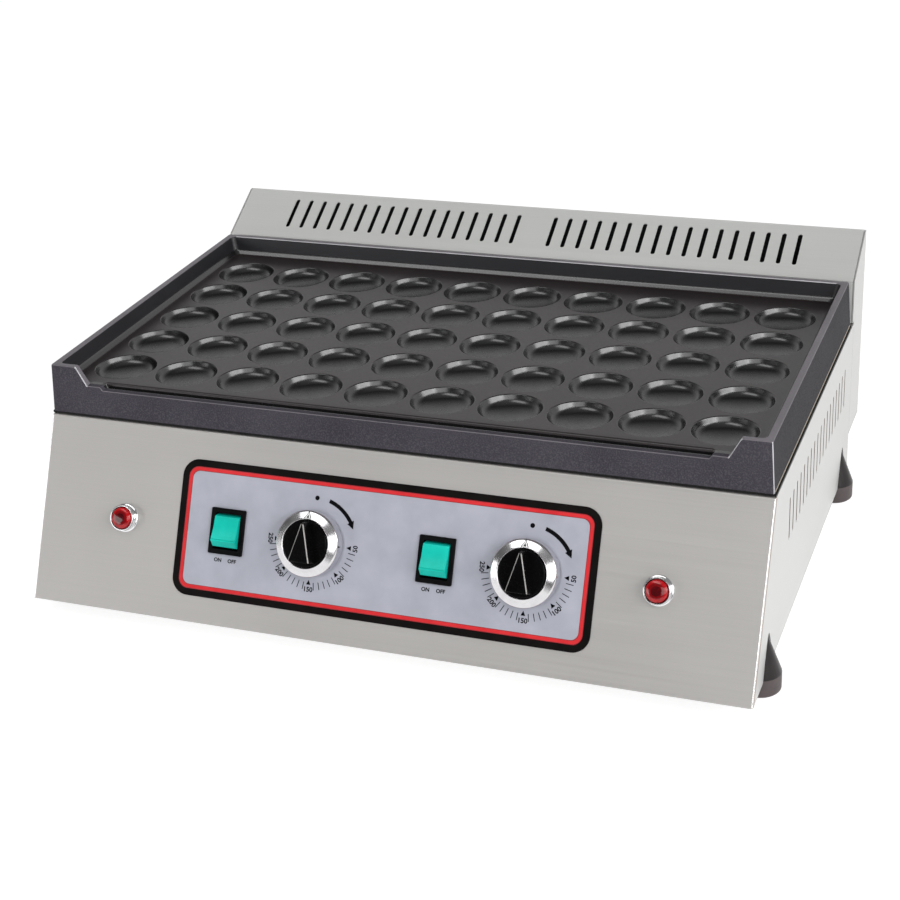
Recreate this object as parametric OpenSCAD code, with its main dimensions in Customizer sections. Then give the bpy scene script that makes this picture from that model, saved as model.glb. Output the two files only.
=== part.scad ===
// Countertop griddle for small round pancakes. A cast plate with rows of shallow cups lies on a
// sheet steel casing with two heating zones, a sloping control panel and a slotted vent duct behind.
// Sizes are in millimetres. The origin is on the table, under the middle of the whole outline,
// with +X to the right, +Y to the back and +Z up.

/* [Casing] */
// Width over the side panels
body_w = 540; // [520:1:620]
// Depth of the deck, from the front panel's top edge to the back panel
deck_d = 310; // [308:1:360]
// Upright height of the front panel
panel_h = 124; // [120:1:160]
// How far the front panel's foot stands ahead of its top edge
panel_reach = 61; // [40:1:75]
// Height of the casing's lower edge above the table
stand_h = 14; // [10:1:22]
// Thickness of the casing's sheet steel
sheet = 1; // [0.8:0.1:1.4]
// Depth of the front panel's returns round the casing's corners
wrap = 4.5; // [3:0.5:8]
// Width of the flanges that carry the deck
flange = 14; // [13:0.5:15]
// Width of the hems along the casing's lower edge
hem = 10; // [6:1:14]
// Gap along a seam between two sheets
seam = 0.4; // [0.2:0.1:0.8]
// Thickness of the seal between the casing and the deck frame
gasket_t = 1.2; // [0.8:0.1:2]
// Distance of the seal from the casing's edge
gasket_inset = 3; // [2:0.5:4]
// Width of the seal
gasket_w = 9; // [8:0.5:10]
// Width of the deck frame's border round its window
deck_border = 24; // [23:0.5:28]

/* [Cooking plate] */
// Height of the plate from its underside to its rim
plate_h = 37.2; // [34:0.1:45]
// Gap between the plate and the vent behind it
plate_gap = 6; // [3:0.5:11]
// Height of the cooking floor above the plate's underside
floor_h = 23.2; // [21:0.1:26]
// Draw-in of the outer side walls from underside to rim
side_draft = 3.3; // [1:0.1:5]
// Draw-in of the outer front and back walls from underside to rim
end_draft = 1.4; // [0.5:0.1:4]
// Width of the flat on top of the rim
rim_w = 5; // [4:0.5:8]
// Draw-in of the tray's inner walls
inner_draft = 3; // [1:0.5:5]
// Width and height of the sloping foot of the tray's inner walls
wall_foot = 3; // [1:0.5:4]
// Columns of cups, as far as the tray is wide enough
cup_columns = 10; // [6:1:10]
// Rows of cups, as far as the tray is deep enough
cup_rows = 5; // [3:1:5]
// Distance between cup columns
cup_pitch_x = 50.5; // [49:0.1:51]
// Distance between cup rows
cup_pitch_y = 51.5; // [49:0.1:52]
// Diameter of a cup at the cooking floor
cup_d = 46; // [40:0.5:48]
// Depth of a cup
cup_depth = 8; // [7:0.5:10]
// Lean of a cup's wall from upright
cup_lean = 26; // [15:1:35]
// Radius of the cup's bottom, which is part of a large ball
cup_bottom = 140; // [80:1:200]
// Radius of the cove between a cup's wall and bottom
cup_cove = 4; // [3:0.5:6]
// Distance from the plate's front edge to the first row of cups
first_row = 40.4; // [38:0.1:44]
// Width of the corner posts beside the open front
post_w = 20; // [15:0.5:24]
// Width of the slope at the end of each corner post
post_slope = 9; // [6:0.5:14]
// Width of the shoulder between a corner post and the front lip
shoulder_w = 10; // [4:0.5:12]
// Drop of the front lip below the cooking floor
lip_drop = 2.5; // [1.5:0.5:4]
// Distance from the plate's front edge to the drip groove
groove_y = 5.6; // [5:0.1:6.2]
// Width of the drip groove
groove_w = 4; // [3:0.5:6]
// Depth of the drip groove below the cooking floor
groove_depth = 4.5; // [4:0.5:8]
// Depth of the hollow under the plate
hollow_h = 7; // [5:0.5:9]
// Width of the plate's skirt round that hollow
skirt_w = 15; // [14:0.5:18]
// Depth of the drip edge that hangs below the plate's front and sides
drip_h = 1.2; // [0.8:0.1:1.6]
// Thickness of the drip edge
drip_w = 2.2; // [1.5:0.1:2.6]

/* [Vents] */
// Depth of the duct behind the casing
duct_d = 45; // [44:1:60]
// Height of the duct's underside above the casing's lower edge
duct_lift = 28; // [20:1:40]
// How far the duct's front wall stands ahead of the back panel
duct_lap = 5; // [4:0.5:6]
// Height of the sloping vent's lower edge above the casing
vent_foot_h = 37; // [34:0.5:50]
// Depth of the sloping vent face
vent_run = 47; // [42:1:48]
// Height of the sloping vent face
vent_rise = 25.6; // [20:0.2:34]
// Slots in each of the two groups
vent_slots = 17; // [8:1:18]
// Distance between vent slots
vent_pitch = 12.75; // [10:0.05:13]
// Width of a vent slot
vent_slot_w = 3.7; // [2:0.1:5]
// Length of a vent slot
vent_slot_len = 32.5; // [20:0.5:40]
// Distance from the middle to the first vent slot
vent_first = 16; // [8:0.5:30]
// Distance up the slope to the middle of the vent slots
vent_up = 29; // [26:0.5:30]
// Slots in each side panel
side_slots = 18; // [8:1:18]
// Distance between side slots
side_pitch = 13.2; // [10:0.1:13.5]
// Width of a side slot
side_slot_w = 3; // [2:0.1:4]
// Length of a side slot
side_slot_len = 32.6; // [20:0.2:40]
// Distance from the front panel's top edge back to the first side slot
side_first = 52; // [45:1:70]
// Height of the side slots' middle above the casing's lower edge
side_slot_h = 82.6; // [70:0.2:90]
// Air ports between the casing and the duct
air_ports = 8; // [4:1:9]
// Width of the metal left between two air ports
port_gap = 18; // [12:1:24]
// Height of the air ports
port_h = 40; // [30:1:44]
// Air ports' distance above the middle of the duct's closed part
port_rise = 10; // [6:1:12]

/* [Controls] */
// Width of the printed overlay
overlay_w = 314; // [300:1:330]
// Height of the printed overlay
overlay_h = 98.5; // [92:0.5:110]
// Thickness of the printed overlay
overlay_t = 0.6; // [0.4:0.1:1]
// Corner radius of the printed overlay
overlay_r = 12.5; // [4:0.5:16]
// Distance down the slope to the middle of the controls
control_down = 69.5; // [66:0.5:74]
// Left knob's distance from the middle, to the right
left_knob_x = -50.3; // [-60:0.1:-45]
// Right knob's distance from the middle, to the right
right_knob_x = 108.9; // [100:0.1:115]
// Left switch's distance from the middle, to the right
left_switch_x = -116.9; // [-125:0.1:-110]
// Right switch's distance from the middle, to the right
right_switch_x = 42.8; // [36:0.1:50]
// Pilot lamps' distance from the casing's sides
lamp_side = 70; // [55:0.5:90]
// Radius of the knob's metal ring
knob_r = 23.6; // [22:0.1:26]
// Radius of the knob's black grip
grip_r = 16.6; // [15:0.1:18]
// Height of the knob's metal ring over the overlay
ring_h = 13.6; // [12:0.1:18]
// Height of the grip's bar over the overlay
bar_h = 22.5; // [19:0.5:28]
// Width of the switch's frame
frame_w = 26.5; // [25:0.5:30]
// Height of the switch's frame
frame_h = 33; // [32:0.5:38]
// Width of the rocker's opening
rocker_w = 20; // [17:0.5:20.5]
// Height of the rocker's opening
rocker_h = 26; // [24:0.5:27]
// Tilt of the rocker either way from its middle
rocker_tilt = 13; // [8:0.5:14]
// Radius of the lamp's bezel
lamp_r = 10.5; // [9:0.1:12]
// Radius of the lamp's lens
lens_r = 8.3; // [6:0.1:8.6]
// Height of the lens over the panel
lens_h = 9.4; // [8:0.1:13]

/* [Thermostats] */
// Radius of the thermostat's spindle
spindle_r = 3; // [2.5:0.1:3.5]
// Radius of the thermostat's threaded neck
neck_r = 5; // [4.5:0.1:5.5]
// Running clearance round a turning pin
running_gap = 0.05; // [0.02:0.01:0.09]
// Width of the thermostat's body
stat_w = 34; // [30:1:38]
// Length of the thermostat's body along the slope
stat_len = 40; // [34:1:42]
// Depth of the thermostat's body
stat_depth = 20; // [16:1:21]

/* [Heating] */
// Diameter of the tubular heating element
element_d = 8.5; // [6:0.5:8.5]
// Distance from the middle to the innermost run
first_run = 55; // [45:1:58]
// Distance from the casing's side to the outermost run
run_side = 50; // [46:1:60]
// Distance from the deck's front edge to the element's straight runs
run_front = 63; // [62:1:75]
// Distance from the plate's back edge to the element's straight runs
run_back = 62; // [55:1:80]
// Radius of the element's bend down to its terminals
leg_bend = 12; // [10:1:14]
// Depth of the reflector tray below the deck frame
tray_depth = 23; // [20:1:30]
// Thickness of the insulation in the reflector tray
blanket_t = 10; // [6:0.5:11]

/* [Feet] */
// Radius of a foot
foot_r = 15; // [12:0.5:16]
// Height of a foot up to the base plate
foot_h = 40; // [36:1:42]
// Height of a foot's full cone above the casing's lower edge
foot_cone_h = 40; // [36:1:44]
// Distance of a foot's axis inside the casing's side
foot_inset = 5.5; // [5:0.5:7]
// Distance of the front feet behind the front panel's foot
foot_front = 49; // [40:1:70]
// Distance of the rear feet ahead of the back panel
foot_back = 30; // [22:1:60]
// Gap between a foot and the casing's notch round it
foot_gap = 1.5; // [0.5:0.1:2.5]

/* [Cable entry] */
// Radius of the bore for the supply cable
cable_r = 4.6; // [3:0.1:5.5]
// Radius of the gland's threaded neck
gland_r = 8; // [7:0.1:9]
// Gland's distance from the casing's left side
gland_side = 70; // [50:1:120]
// Gland's distance ahead of the back panel
gland_back = 60; // [50:1:80]
// Length of the gland's neck inside the casing
gland_neck = 8; // [7:0.5:12]

/* [Hidden] */
$fn = 48;

// Overlap of a cutting shape past the face that it cuts
cut = 1;
// Gap between a fixed pin and its hole
hole_gap = 0.1;

// Main planes of the casing
lean = atan(panel_reach / panel_h);
slope_len = norm([panel_reach, panel_h]);
half_w = body_w / 2;
front_y = -(panel_reach + deck_d + duct_d) / 2;
deck_y = front_y + panel_reach;
back_y = deck_y + deck_d;
duct_y = back_y + duct_d;
deck_z = stand_h + panel_h;
frame_z = deck_z + gasket_t;
plate_z = frame_z + sheet;
hollow_z = plate_z + hollow_h;
plate_d = deck_d - duct_lap - plate_gap;
slant = sheet / cos(lean);
lamp_x = half_w - lamp_side;
gland_x = half_w - gland_side;

// Sloping vent
vent_lean = atan(vent_rise / vent_run);
vent_y = back_y - duct_lap;
vent_z = deck_z + vent_foot_h;
vent_top_y = vent_y + vent_run;
vent_top_z = vent_z + vent_rise;
duct_z = stand_h + duct_lift;
vent_slant = sheet / cos(vent_lean);

// Deck frame and what hangs from it
frame_inset = drip_w + 0.4;
tray_wall = 0.8;
tray_inset = deck_border + 0.6;
tray_lip = 8;
tray_z = frame_z - tray_depth;
tray_screw_r = 1.5;
tray_screw_reach = 60;
bolt_r = 3;
bolt_inset = gasket_inset + gasket_w / 2;
bolt_end = 70;
bolt_ys = [deck_y + bolt_end, back_y - bolt_end];
bolt_grip = 9;
bolt_head_h = 4;

// Cup, measured from the cooking floor: its cove meets the leaning wall and the large ball
cup_r = cup_d / 2;
cove_over = 0.02;
ball_z = cup_bottom - cup_depth;
cove_x = cup_r - cup_cove * cos(cup_lean);
cove_z = cup_cove * sin(cup_lean) - ball_z;
cove_b = cove_x * sin(cup_lean) + cove_z * cos(cup_lean);
cove_c = cove_x * cove_x + cove_z * cove_z - pow(cup_bottom - cup_cove, 2);
wall_run = cove_b + sqrt(cove_b * cove_b - cove_c);
wall_end = [cup_r - wall_run * sin(cup_lean), -wall_run * cos(cup_lean)];
cove_at = wall_end + cup_cove * [-cos(cup_lean), sin(cup_lean)];
ball_end = [0, ball_z] + (cove_at - [0, ball_z]) * cup_bottom / (cup_bottom - cup_cove);

// Switch: the rocker turns about a pin behind its opening
bezel_t = 2;
rocker_gap = 0.5;
pivot_depth = 3;
pivot_r = 1.5;
rocker_reach = rocker_h / 2 - rocker_gap;
switch_wall = 0.8;
switch_depth = 24;
cavity_depth = 12;

// Knob, measured up from the overlay
nut_t = 3;
neck_h = nut_t + 1.5;
hub_z = neck_h + 0.7;
seat_z = hub_z + 2.3;
grip_top = ring_h + 1;
bar_in = 0.6;
bar_tip = 2.4;
bar_end = 9.6;
bar_draft = 12;
ring_wall = 1.2;
skirt_gap = 1.2;
spindle_top = grip_top;
spindle_foot = 12;
bracket_t = 1;
stat_top = sheet + bracket_t;

// Lamp, measured up from the panel
lamp_flange = 1.8;
lamp_neck_r = 6;
lamp_neck = 14;
lens_seat = 2.5;
collar_h = lens_h - 2.4;

// Element and sensor
element_r = element_d / 2;
contact_gap = 0.05;
element_z = hollow_z - element_r - contact_gap;
runs = 4;
run_pitch = (half_w - run_side - first_run) / (runs - 1);
run_len = plate_d - run_front - run_back;
leg_drop = 12;
leg_z = tray_z - leg_drop;
leg_hole = element_r + 1.5;
leg_y = deck_y + run_front - leg_bend;
sensor_x = first_run + 1.5 * run_pitch;
bulb_r = 3;
bulb_len = 90;
bulb_in = 40;
bulb_y = deck_y + run_front + bulb_in;
bulb_z = hollow_z - bulb_r - contact_gap;
tube_r = 0.9;
tube_hole = 2.5;
tube_lead = 12;
tube_drop = 14;
tube_tail = 25;
drop_y = bulb_y - tube_lead;
drop_z = tray_z - tube_drop;
strap_t = 1.5;
strap_w = 10;
strap_in = 18;
strap_z = element_z - element_r - contact_gap - strap_t;
strap_ys = [deck_y + run_front + strap_in, deck_y + run_front + run_len - strap_in];

// Feet and base plate
foot_ys = [front_y + foot_front, back_y - foot_back];
foot_x = half_w - foot_inset;
base_z = foot_h;
base_top = base_z + sheet;
base_flange = 14;
foot_screw_r = 2;
foot_screw_len = 18;
foot_top_r = foot_r * (1 - (foot_h - stand_h) / foot_cone_h);
gland_y = back_y - gland_back;
gland_len = 18;
block_w = 46;
block_d = 24;
block_h = 20;
block_gap = 16;
block_ahead = 30;
duct_screw_end = 28;
duct_screw_in = 6;
duct_screw_zs = [duct_z + duct_screw_end, (duct_z + vent_top_z) / 2, vent_top_z - duct_screw_end];
duct_screw_x = half_w - duct_screw_in;
duct_screw_len = 6;

function front_point(across, down, out) = [
    across,
    deck_y - down * sin(lean) - out * cos(lean),
    deck_z - down * cos(lean) + out * sin(lean)
];

// Back face of the front panel's sheet at a height
function inside_front(z) = deck_y - (deck_z - z) * tan(lean) + slant;

function run_x(side, i) = side * (first_run + i * run_pitch);

// Places children on the sloping front: across, down from the top edge and out from the face
module on_front(across, down, out = 0) {
    translate([0, deck_y, deck_z])
        rotate([90 - lean, 0, 0])
            translate([across, -down, out])
                children();
}

// Places children on the sloping vent: across, up from the lower edge and out from the face
module on_vent(across, up, out = 0) {
    translate([0, vent_y, vent_z])
        rotate([vent_lean, 0, 0])
            translate([across, up, out])
                children();
}

// Extrudes a side view, drawn as (back, up), across the width
module side_view(x, width) {
    translate([x, 0, 0])
        rotate([90, 0, 90])
            linear_extrude(width)
                children();
}

// Draws children on the right and mirrored on the left
module both_sides() {
    children();
    mirror([1, 0, 0])
        children();
}

module rounded_rect(w, h, r) {
    square([w - 2 * r, h], center = true);
    square([w, h - 2 * r], center = true);
    for (x = [-1, 1], y = [-1, 1])
        translate([x * (w / 2 - r), y * (h / 2 - r)])
            circle(r);
}

// A slot with round ends that runs along Y
module slot_shape(w, len) {
    square([w, len - w], center = true);
    for (y = [-1, 1])
        translate([0, y * (len - w) / 2])
            circle(w / 2);
}

// A round rod between two points
module rod(from, to, r) {
    way = to - from;
    translate(from)
        rotate([0, acos(way.z / norm(way)), atan2(way.y, way.x)])
            cylinder(r = r, h = norm(way));
}

// A rectangular frame in the deck's outline, set in from the casing's edges
module deck_outline(inset, front_inset, height) {
    depth = deck_d - inset - front_inset;
    translate([inset - half_w, deck_y + front_inset, 0])
        cube([body_w - 2 * inset, depth, height]);
}

module at_bolts() {
    for (x = [-1, 1], y = bolt_ys)
        translate([x * (half_w - bolt_inset), y, 0])
            children();
}

// Small screws that hold the reflector tray, in the middle of its lip
module at_tray_screws() {
    lip_x = half_w - tray_inset + tray_lip / 2;
    lip_y = [deck_y + tray_inset - tray_lip / 2, back_y - tray_inset + tray_lip / 2];
    for (x = [-1, 1], y = [-1, 1])
        translate([x * lip_x, (lip_y[0] + lip_y[1]) / 2 + y * tray_screw_reach, 0])
            children();
    for (x = [-1, 1], y = lip_y)
        translate([x * half_w / 2, y, 0])
            children();
}

module at_feet() {
    for (x = [-1, 1], y = foot_ys)
        translate([x * foot_x, y, 0])
            children();
}

module at_duct_screws() {
    for (x = [-1, 1], z = duct_screw_zs)
        translate([x * duct_screw_x, duct_y, z])
            rotate([90, 0, 0])
                children();
}

// Holes for the elements' legs and the sensors' tubes
module heater_holes(z, height) {
    for (side = [-1, 1]) {
        for (i = [0, runs - 1])
            translate([run_x(side, i), leg_y, z])
                cylinder(r = leg_hole, h = height);
        translate([side * sensor_x, drop_y, z])
            cylinder(r = tube_hole, h = height);
    }
}

// The cast plate, drawn with its underside at zero and its front edge on the X axis

module plate_blank() {
    intersection() {
        rotate([90, 0, 0])
            translate([0, 0, -plate_d])
                linear_extrude(plate_d)
                    polygon([
                        [-half_w, 0], [half_w, 0],
                        [half_w - side_draft, plate_h], [side_draft - half_w, plate_h]
                    ]);
        side_view(-half_w, body_w)
            polygon([[0, 0], [plate_d, 0], [plate_d - end_draft, plate_h], [end_draft, plate_h]]);
    }
    translate([-half_w, 0, -drip_h])
        cube([body_w, drip_w, drip_h + cut]);
    both_sides()
        translate([half_w - drip_w, 0, -drip_h])
            cube([drip_w, plate_d, drip_h + cut / 2]);
}

// Half width and depth of the tray at the rim, over the wall's foot and at the floor
tray_half = half_w - side_draft - rim_w;
tray_front = end_draft + rim_w;
tray_back = plate_d - end_draft - rim_w;
floor_half = tray_half - inner_draft - wall_foot;
floor_back = tray_back - inner_draft - wall_foot;
columns = min(cup_columns, 1 + floor((2 * floor_half - cup_d) / cup_pitch_x));
rows = min(cup_rows, 1 + floor((floor_back - first_row - cup_r) / cup_pitch_y));

module tray_space() {
    above = plate_h + cut;
    foot_top = floor_h + wall_foot;
    in_foot = inner_draft + wall_foot;
    intersection() {
        rotate([90, 0, 0])
            translate([0, 0, -plate_d])
                linear_extrude(plate_d)
                    polygon([
                        [in_foot - tray_half, floor_h], [tray_half - in_foot, floor_h],
                        [tray_half - inner_draft, foot_top], [tray_half, plate_h],
                        [tray_half, above], [-tray_half, above],
                        [-tray_half, plate_h], [inner_draft - tray_half, foot_top]
                    ]);
        side_view(-half_w, body_w)
            polygon([
                [tray_front, floor_h], [tray_back - in_foot, floor_h],
                [tray_back - inner_draft, foot_top], [tray_back, plate_h],
                [tray_back, above], [tray_front, above]
            ]);
    }
}

// The opening in the front wall between the corner posts, down to the pouring lip
module front_gap() {
    post = half_w - side_draft - post_w;
    shoulder = post - post_slope;
    lip = shoulder - shoulder_w;
    depth = groove_y + groove_w / 2;
    rotate([90, 0, 0])
        translate([0, 0, -tray_front - cut])
            linear_extrude(tray_front + 2 * cut)
                polygon([
                    [-post, plate_h + cut], [-post, plate_h], [-shoulder, floor_h],
                    [shoulder, floor_h], [post, plate_h], [post, plate_h + cut]
                ]);
    rotate([90, 0, 0])
        translate([0, 0, -depth])
            linear_extrude(depth + cut)
                polygon([
                    [-lip, floor_h + cut], [lip_drop - lip, floor_h - lip_drop],
                    [lip - lip_drop, floor_h - lip_drop], [lip, floor_h + cut]
                ]);
    translate([0, groove_y + groove_w / 2, floor_h - groove_depth])
        linear_extrude(groove_depth + cut)
            rotate(90)
                slot_shape(groove_w, 2 * lip);
}

// Half section of a cup's space: straight wall, cove and ball-shaped bottom
module cup_section() {
    polygon([
        [0, cut], [cup_r + cut * tan(cup_lean), cut], wall_end, ball_end, [0, ball_end.y]
    ]);
    translate(cove_at)
        circle(cup_cove + cove_over);
    intersection() {
        translate([0, ball_z])
            circle(cup_bottom);
        translate([0, -cup_depth - cut])
            square([ball_end.x, cup_depth + ball_end.y + 2 * cut]);
    }
}

module cooking_plate() {
    color([0.25, 0.24, 0.26])
        translate([0, deck_y, plate_z])
            difference() {
                plate_blank();
                tray_space();
                front_gap();
                for (i = [0 : columns - 1], j = [0 : rows - 1])
                    translate([
                        (i - (columns - 1) / 2) * cup_pitch_x,
                        first_row + j * cup_pitch_y,
                        floor_h
                    ])
                        rotate_extrude()
                            cup_section();
                translate([skirt_w - half_w, skirt_w, -cut])
                    cube([body_w - 2 * skirt_w, plate_d - 2 * skirt_w, hollow_h + cut]);
                translate([0, -deck_y, -cut])
                    at_bolts()
                        cylinder(r = bolt_r + hole_gap, h = cut + bolt_grip + hole_gap);
            }
}

module deck_frame() {
    color([0.85, 0.84, 0.8])
        difference() {
            translate([0, 0, frame_z])
                deck_outline(frame_inset, frame_inset, sheet);
            translate([0, 0, frame_z - cut])
                deck_outline(deck_border, deck_border, sheet + 2 * cut);
            translate([0, 0, frame_z - cut])
                at_bolts()
                    cylinder(r = bolt_r + hole_gap, h = sheet + 2 * cut);
            translate([0, 0, frame_z - cut])
                at_tray_screws()
                    cylinder(r = tray_screw_r + hole_gap, h = sheet + 2 * cut);
        }
}

module deck_gasket() {
    inner = gasket_inset + gasket_w;
    color([0.08, 0.08, 0.08])
        difference() {
            translate([0, 0, deck_z])
                deck_outline(gasket_inset, gasket_inset, gasket_t);
            translate([0, 0, deck_z - cut])
                deck_outline(inner, inner, gasket_t + 2 * cut);
            translate([0, 0, deck_z - cut])
                at_bolts()
                    cylinder(r = bolt_r + hole_gap, h = gasket_t + 2 * cut);
        }
}

module switch_cutout(gap) {
    cube([
        rocker_w + 2 * switch_wall + 2 * gap,
        rocker_h + 2 * switch_wall + 2 * gap,
        2 * (sheet + overlay_t + cut)
    ], center = true);
}

// Openings for the switches and the thermostats' necks
module control_holes() {
    for (x = [left_switch_x, right_switch_x])
        on_front(x, control_down)
            switch_cutout(hole_gap);
    for (x = [left_knob_x, right_knob_x])
        on_front(x, control_down, -sheet - cut)
            cylinder(r = neck_r + hole_gap, h = sheet + overlay_t + 2 * cut);
}

module front_panel() {
    inner_w = body_w - 2 * (sheet + seam);
    wrap_run = wrap / cos(lean);
    color([0.75, 0.73, 0.7])
        difference() {
            union() {
                side_view(-half_w, body_w)
                    polygon([
                        [front_y, stand_h], [deck_y, deck_z],
                        [deck_y + slant, deck_z], [front_y + slant, stand_h]
                    ]);
                both_sides()
                    side_view(half_w - sheet, sheet)
                        polygon([
                            [front_y, stand_h], [deck_y, deck_z],
                            [deck_y + wrap_run, deck_z], [front_y + wrap_run, stand_h]
                        ]);
                translate([-inner_w / 2, deck_y, deck_z - sheet])
                    cube([inner_w, flange, sheet]);
                translate([-inner_w / 2, front_y + slant / 2, stand_h])
                    cube([inner_w, hem, sheet]);
            }
            control_holes();
            for (x = [-lamp_x, lamp_x])
                on_front(x, control_down, -sheet - cut)
                    cylinder(r = lamp_neck_r + hole_gap, h = sheet + 2 * cut);
        }
}

// The foot's outline, grown by a gap, with its cone run up to a height
module foot_outline(gap, top) {
    grown = foot_r + gap;
    top_r = max(foot_r * (1 - (top - stand_h) / foot_cone_h), 0) + gap;
    rotate_extrude()
        polygon([[0, 0], [grown, 0], [grown, stand_h], [top_r, top], [0, top]]);
}

module side_panel() {
    edge = (wrap + seam) / cos(lean);
    top_start = deck_y + flange + seam;
    top_len = deck_d - 2 * (flange + seam);
    hem_start = foot_ys[0] + foot_r + cut;
    hem_len = foot_ys[1] - foot_ys[0] - 2 * (foot_r + cut);
    color([0.9, 0.9, 0.89])
        difference() {
            union() {
                side_view(half_w - sheet, sheet)
                    polygon([
                        [front_y + edge, stand_h], [deck_y + edge, deck_z],
                        [back_y, deck_z], [back_y, stand_h]
                    ]);
                translate([half_w - flange, top_start, deck_z - sheet])
                    cube([flange - sheet / 2, top_len, sheet]);
                translate([half_w - hem, hem_start, stand_h])
                    cube([hem - sheet / 2, hem_len, sheet]);
            }
            for (i = [0 : side_slots - 1])
                side_view(half_w - sheet - cut, sheet + 2 * cut)
                    translate([deck_y + side_first + i * side_pitch, stand_h + side_slot_h])
                        slot_shape(side_slot_w, side_slot_len);
            at_feet()
                foot_outline(foot_gap, stand_h + foot_cone_h);
            translate([0, 0, deck_z - sheet - cut])
                at_bolts()
                    cylinder(r = bolt_r + hole_gap, h = sheet + 2 * cut);
        }
}

module left_side_panel() {
    mirror([1, 0, 0])
        side_panel();
}

module right_side_panel() {
    side_panel();
}

module back_panel() {
    inner_w = body_w - 2 * sheet;
    port_pitch = inner_w / (air_ports + 0.5);
    port_r = 6;
    port_w = port_pitch - port_gap;
    port_z = (duct_z + deck_z) / 2 + port_rise;
    color([0.8, 0.79, 0.77])
        difference() {
            union() {
                translate([-inner_w / 2, back_y - sheet, stand_h])
                    cube([inner_w, sheet, panel_h]);
                translate([-inner_w / 2, back_y - flange, deck_z - sheet])
                    cube([inner_w, flange, sheet]);
                translate([foot_r + foot_inset - half_w + hem, back_y - hem, stand_h])
                    cube([body_w - 2 * (foot_r + foot_inset + hem), hem, sheet]);
            }
            for (i = [0 : air_ports - 1])
                translate([(i - (air_ports - 1) / 2) * port_pitch, back_y + cut, port_z])
                    rotate([90, 0, 0])
                        linear_extrude(sheet + 2 * cut)
                            rounded_rect(port_w, port_h, port_r);
            at_feet()
                foot_outline(foot_gap, stand_h + foot_cone_h);
        }
}

module base_plate() {
    start = inside_front(base_top) + seam;
    depth = back_y - sheet - seam - start;
    width = body_w - 2 * sheet;
    color([0.7, 0.69, 0.67])
        difference() {
            union() {
                translate([-width / 2, start, base_z])
                    cube([width, depth, sheet]);
                both_sides()
                    translate([width / 2 - sheet, start + base_flange, base_z])
                        cube([sheet, depth - base_flange, base_flange]);
            }
            translate([0, 0, base_z - cut])
                at_feet()
                    cylinder(r = foot_screw_r + hole_gap, h = sheet + 2 * cut);
            translate([-gland_x, gland_y, base_z - cut])
                cylinder(r = gland_r + hole_gap, h = sheet + 2 * cut);
        }
}

module vent_ramp() {
    inner_w = body_w - 2 * (sheet + seam);
    inner_rise = (vent_rise - sheet + vent_slant) / tan(vent_lean);
    color([0.84, 0.84, 0.82])
        difference() {
            side_view(-inner_w / 2, inner_w)
                polygon([
                    [vent_y, plate_z], [vent_y, vent_z], [vent_top_y, vent_top_z],
                    [duct_y, vent_top_z], [duct_y, vent_top_z - sheet],
                    [vent_y + inner_rise, vent_top_z - sheet],
                    [vent_y + sheet, vent_z + sheet * tan(vent_lean) - vent_slant],
                    [vent_y + sheet, plate_z]
                ]);
            for (side = [-1, 1], i = [0 : vent_slots - 1])
                on_vent(side * (vent_first + i * vent_pitch), vent_up, -sheet - cut)
                    linear_extrude(sheet + 2 * cut)
                        slot_shape(vent_slot_w, vent_slot_len);
        }
}

module duct_cheek() {
    step_z = plate_z + seam;
    tab = 12;
    color([0.86, 0.86, 0.85])
        difference() {
            union() {
                side_view(half_w - sheet, sheet)
                    polygon([
                        [back_y + seam, duct_z], [duct_y, duct_z], [duct_y, vent_top_z],
                        [vent_top_y, vent_top_z], [vent_y, vent_z], [vent_y, step_z],
                        [back_y + seam, step_z]
                    ]);
                translate([half_w - tab, duct_y - 2 * sheet, duct_z + 2 * sheet])
                    cube([tab - sheet / 2, sheet, vent_top_z - duct_z - 5 * sheet]);
            }
            at_duct_screws()
                cylinder(r = tray_screw_r + hole_gap, h = 4 * sheet);
        }
}

module left_duct_cheek() {
    mirror([1, 0, 0])
        duct_cheek();
}

module right_duct_cheek() {
    duct_cheek();
}

module duct_back() {
    width = body_w - 2 * (sheet + seam);
    color([0.8, 0.79, 0.77])
        difference() {
            union() {
                translate([-width / 2, duct_y - sheet, duct_z])
                    cube([width, sheet, vent_top_z - sheet - duct_z]);
                translate([-width / 2, back_y, duct_z])
                    cube([width, duct_d, sheet]);
                translate([-width / 2, back_y, duct_z])
                    cube([width, sheet, hem]);
            }
            at_duct_screws()
                translate([0, 0, -cut])
                    cylinder(r = 2 * tray_screw_r + hole_gap, h = sheet + 2 * cut);
        }
}

module control_overlay() {
    color([0.72, 0.73, 0.77])
        difference() {
            on_front(0, control_down)
                linear_extrude(overlay_t)
                    rounded_rect(overlay_w, overlay_h, overlay_r);
            control_holes();
        }
}

module switch_housing(x) {
    box_w = rocker_w + 2 * switch_wall;
    box_h = rocker_h + 2 * switch_wall;
    color([0.06, 0.06, 0.07])
        on_front(x, control_down, overlay_t)
            difference() {
                union() {
                    linear_extrude(bezel_t)
                        rounded_rect(frame_w, frame_h, 1);
                    translate([-box_w / 2, -box_h / 2, -switch_depth])
                        cube([box_w, box_h, switch_depth + cut]);
                }
                translate([-rocker_w / 2, -rocker_h / 2, -cavity_depth])
                    cube([rocker_w, rocker_h, cavity_depth + bezel_t + cut]);
                translate([-box_w / 2 - cut, 0, -pivot_depth])
                    rotate([0, 90, 0])
                        cylinder(r = pivot_r + running_gap, h = box_w + 2 * cut);
            }
}

module left_switch_housing() {
    switch_housing(left_switch_x);
}

module right_switch_housing() {
    switch_housing(right_switch_x);
}

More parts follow.
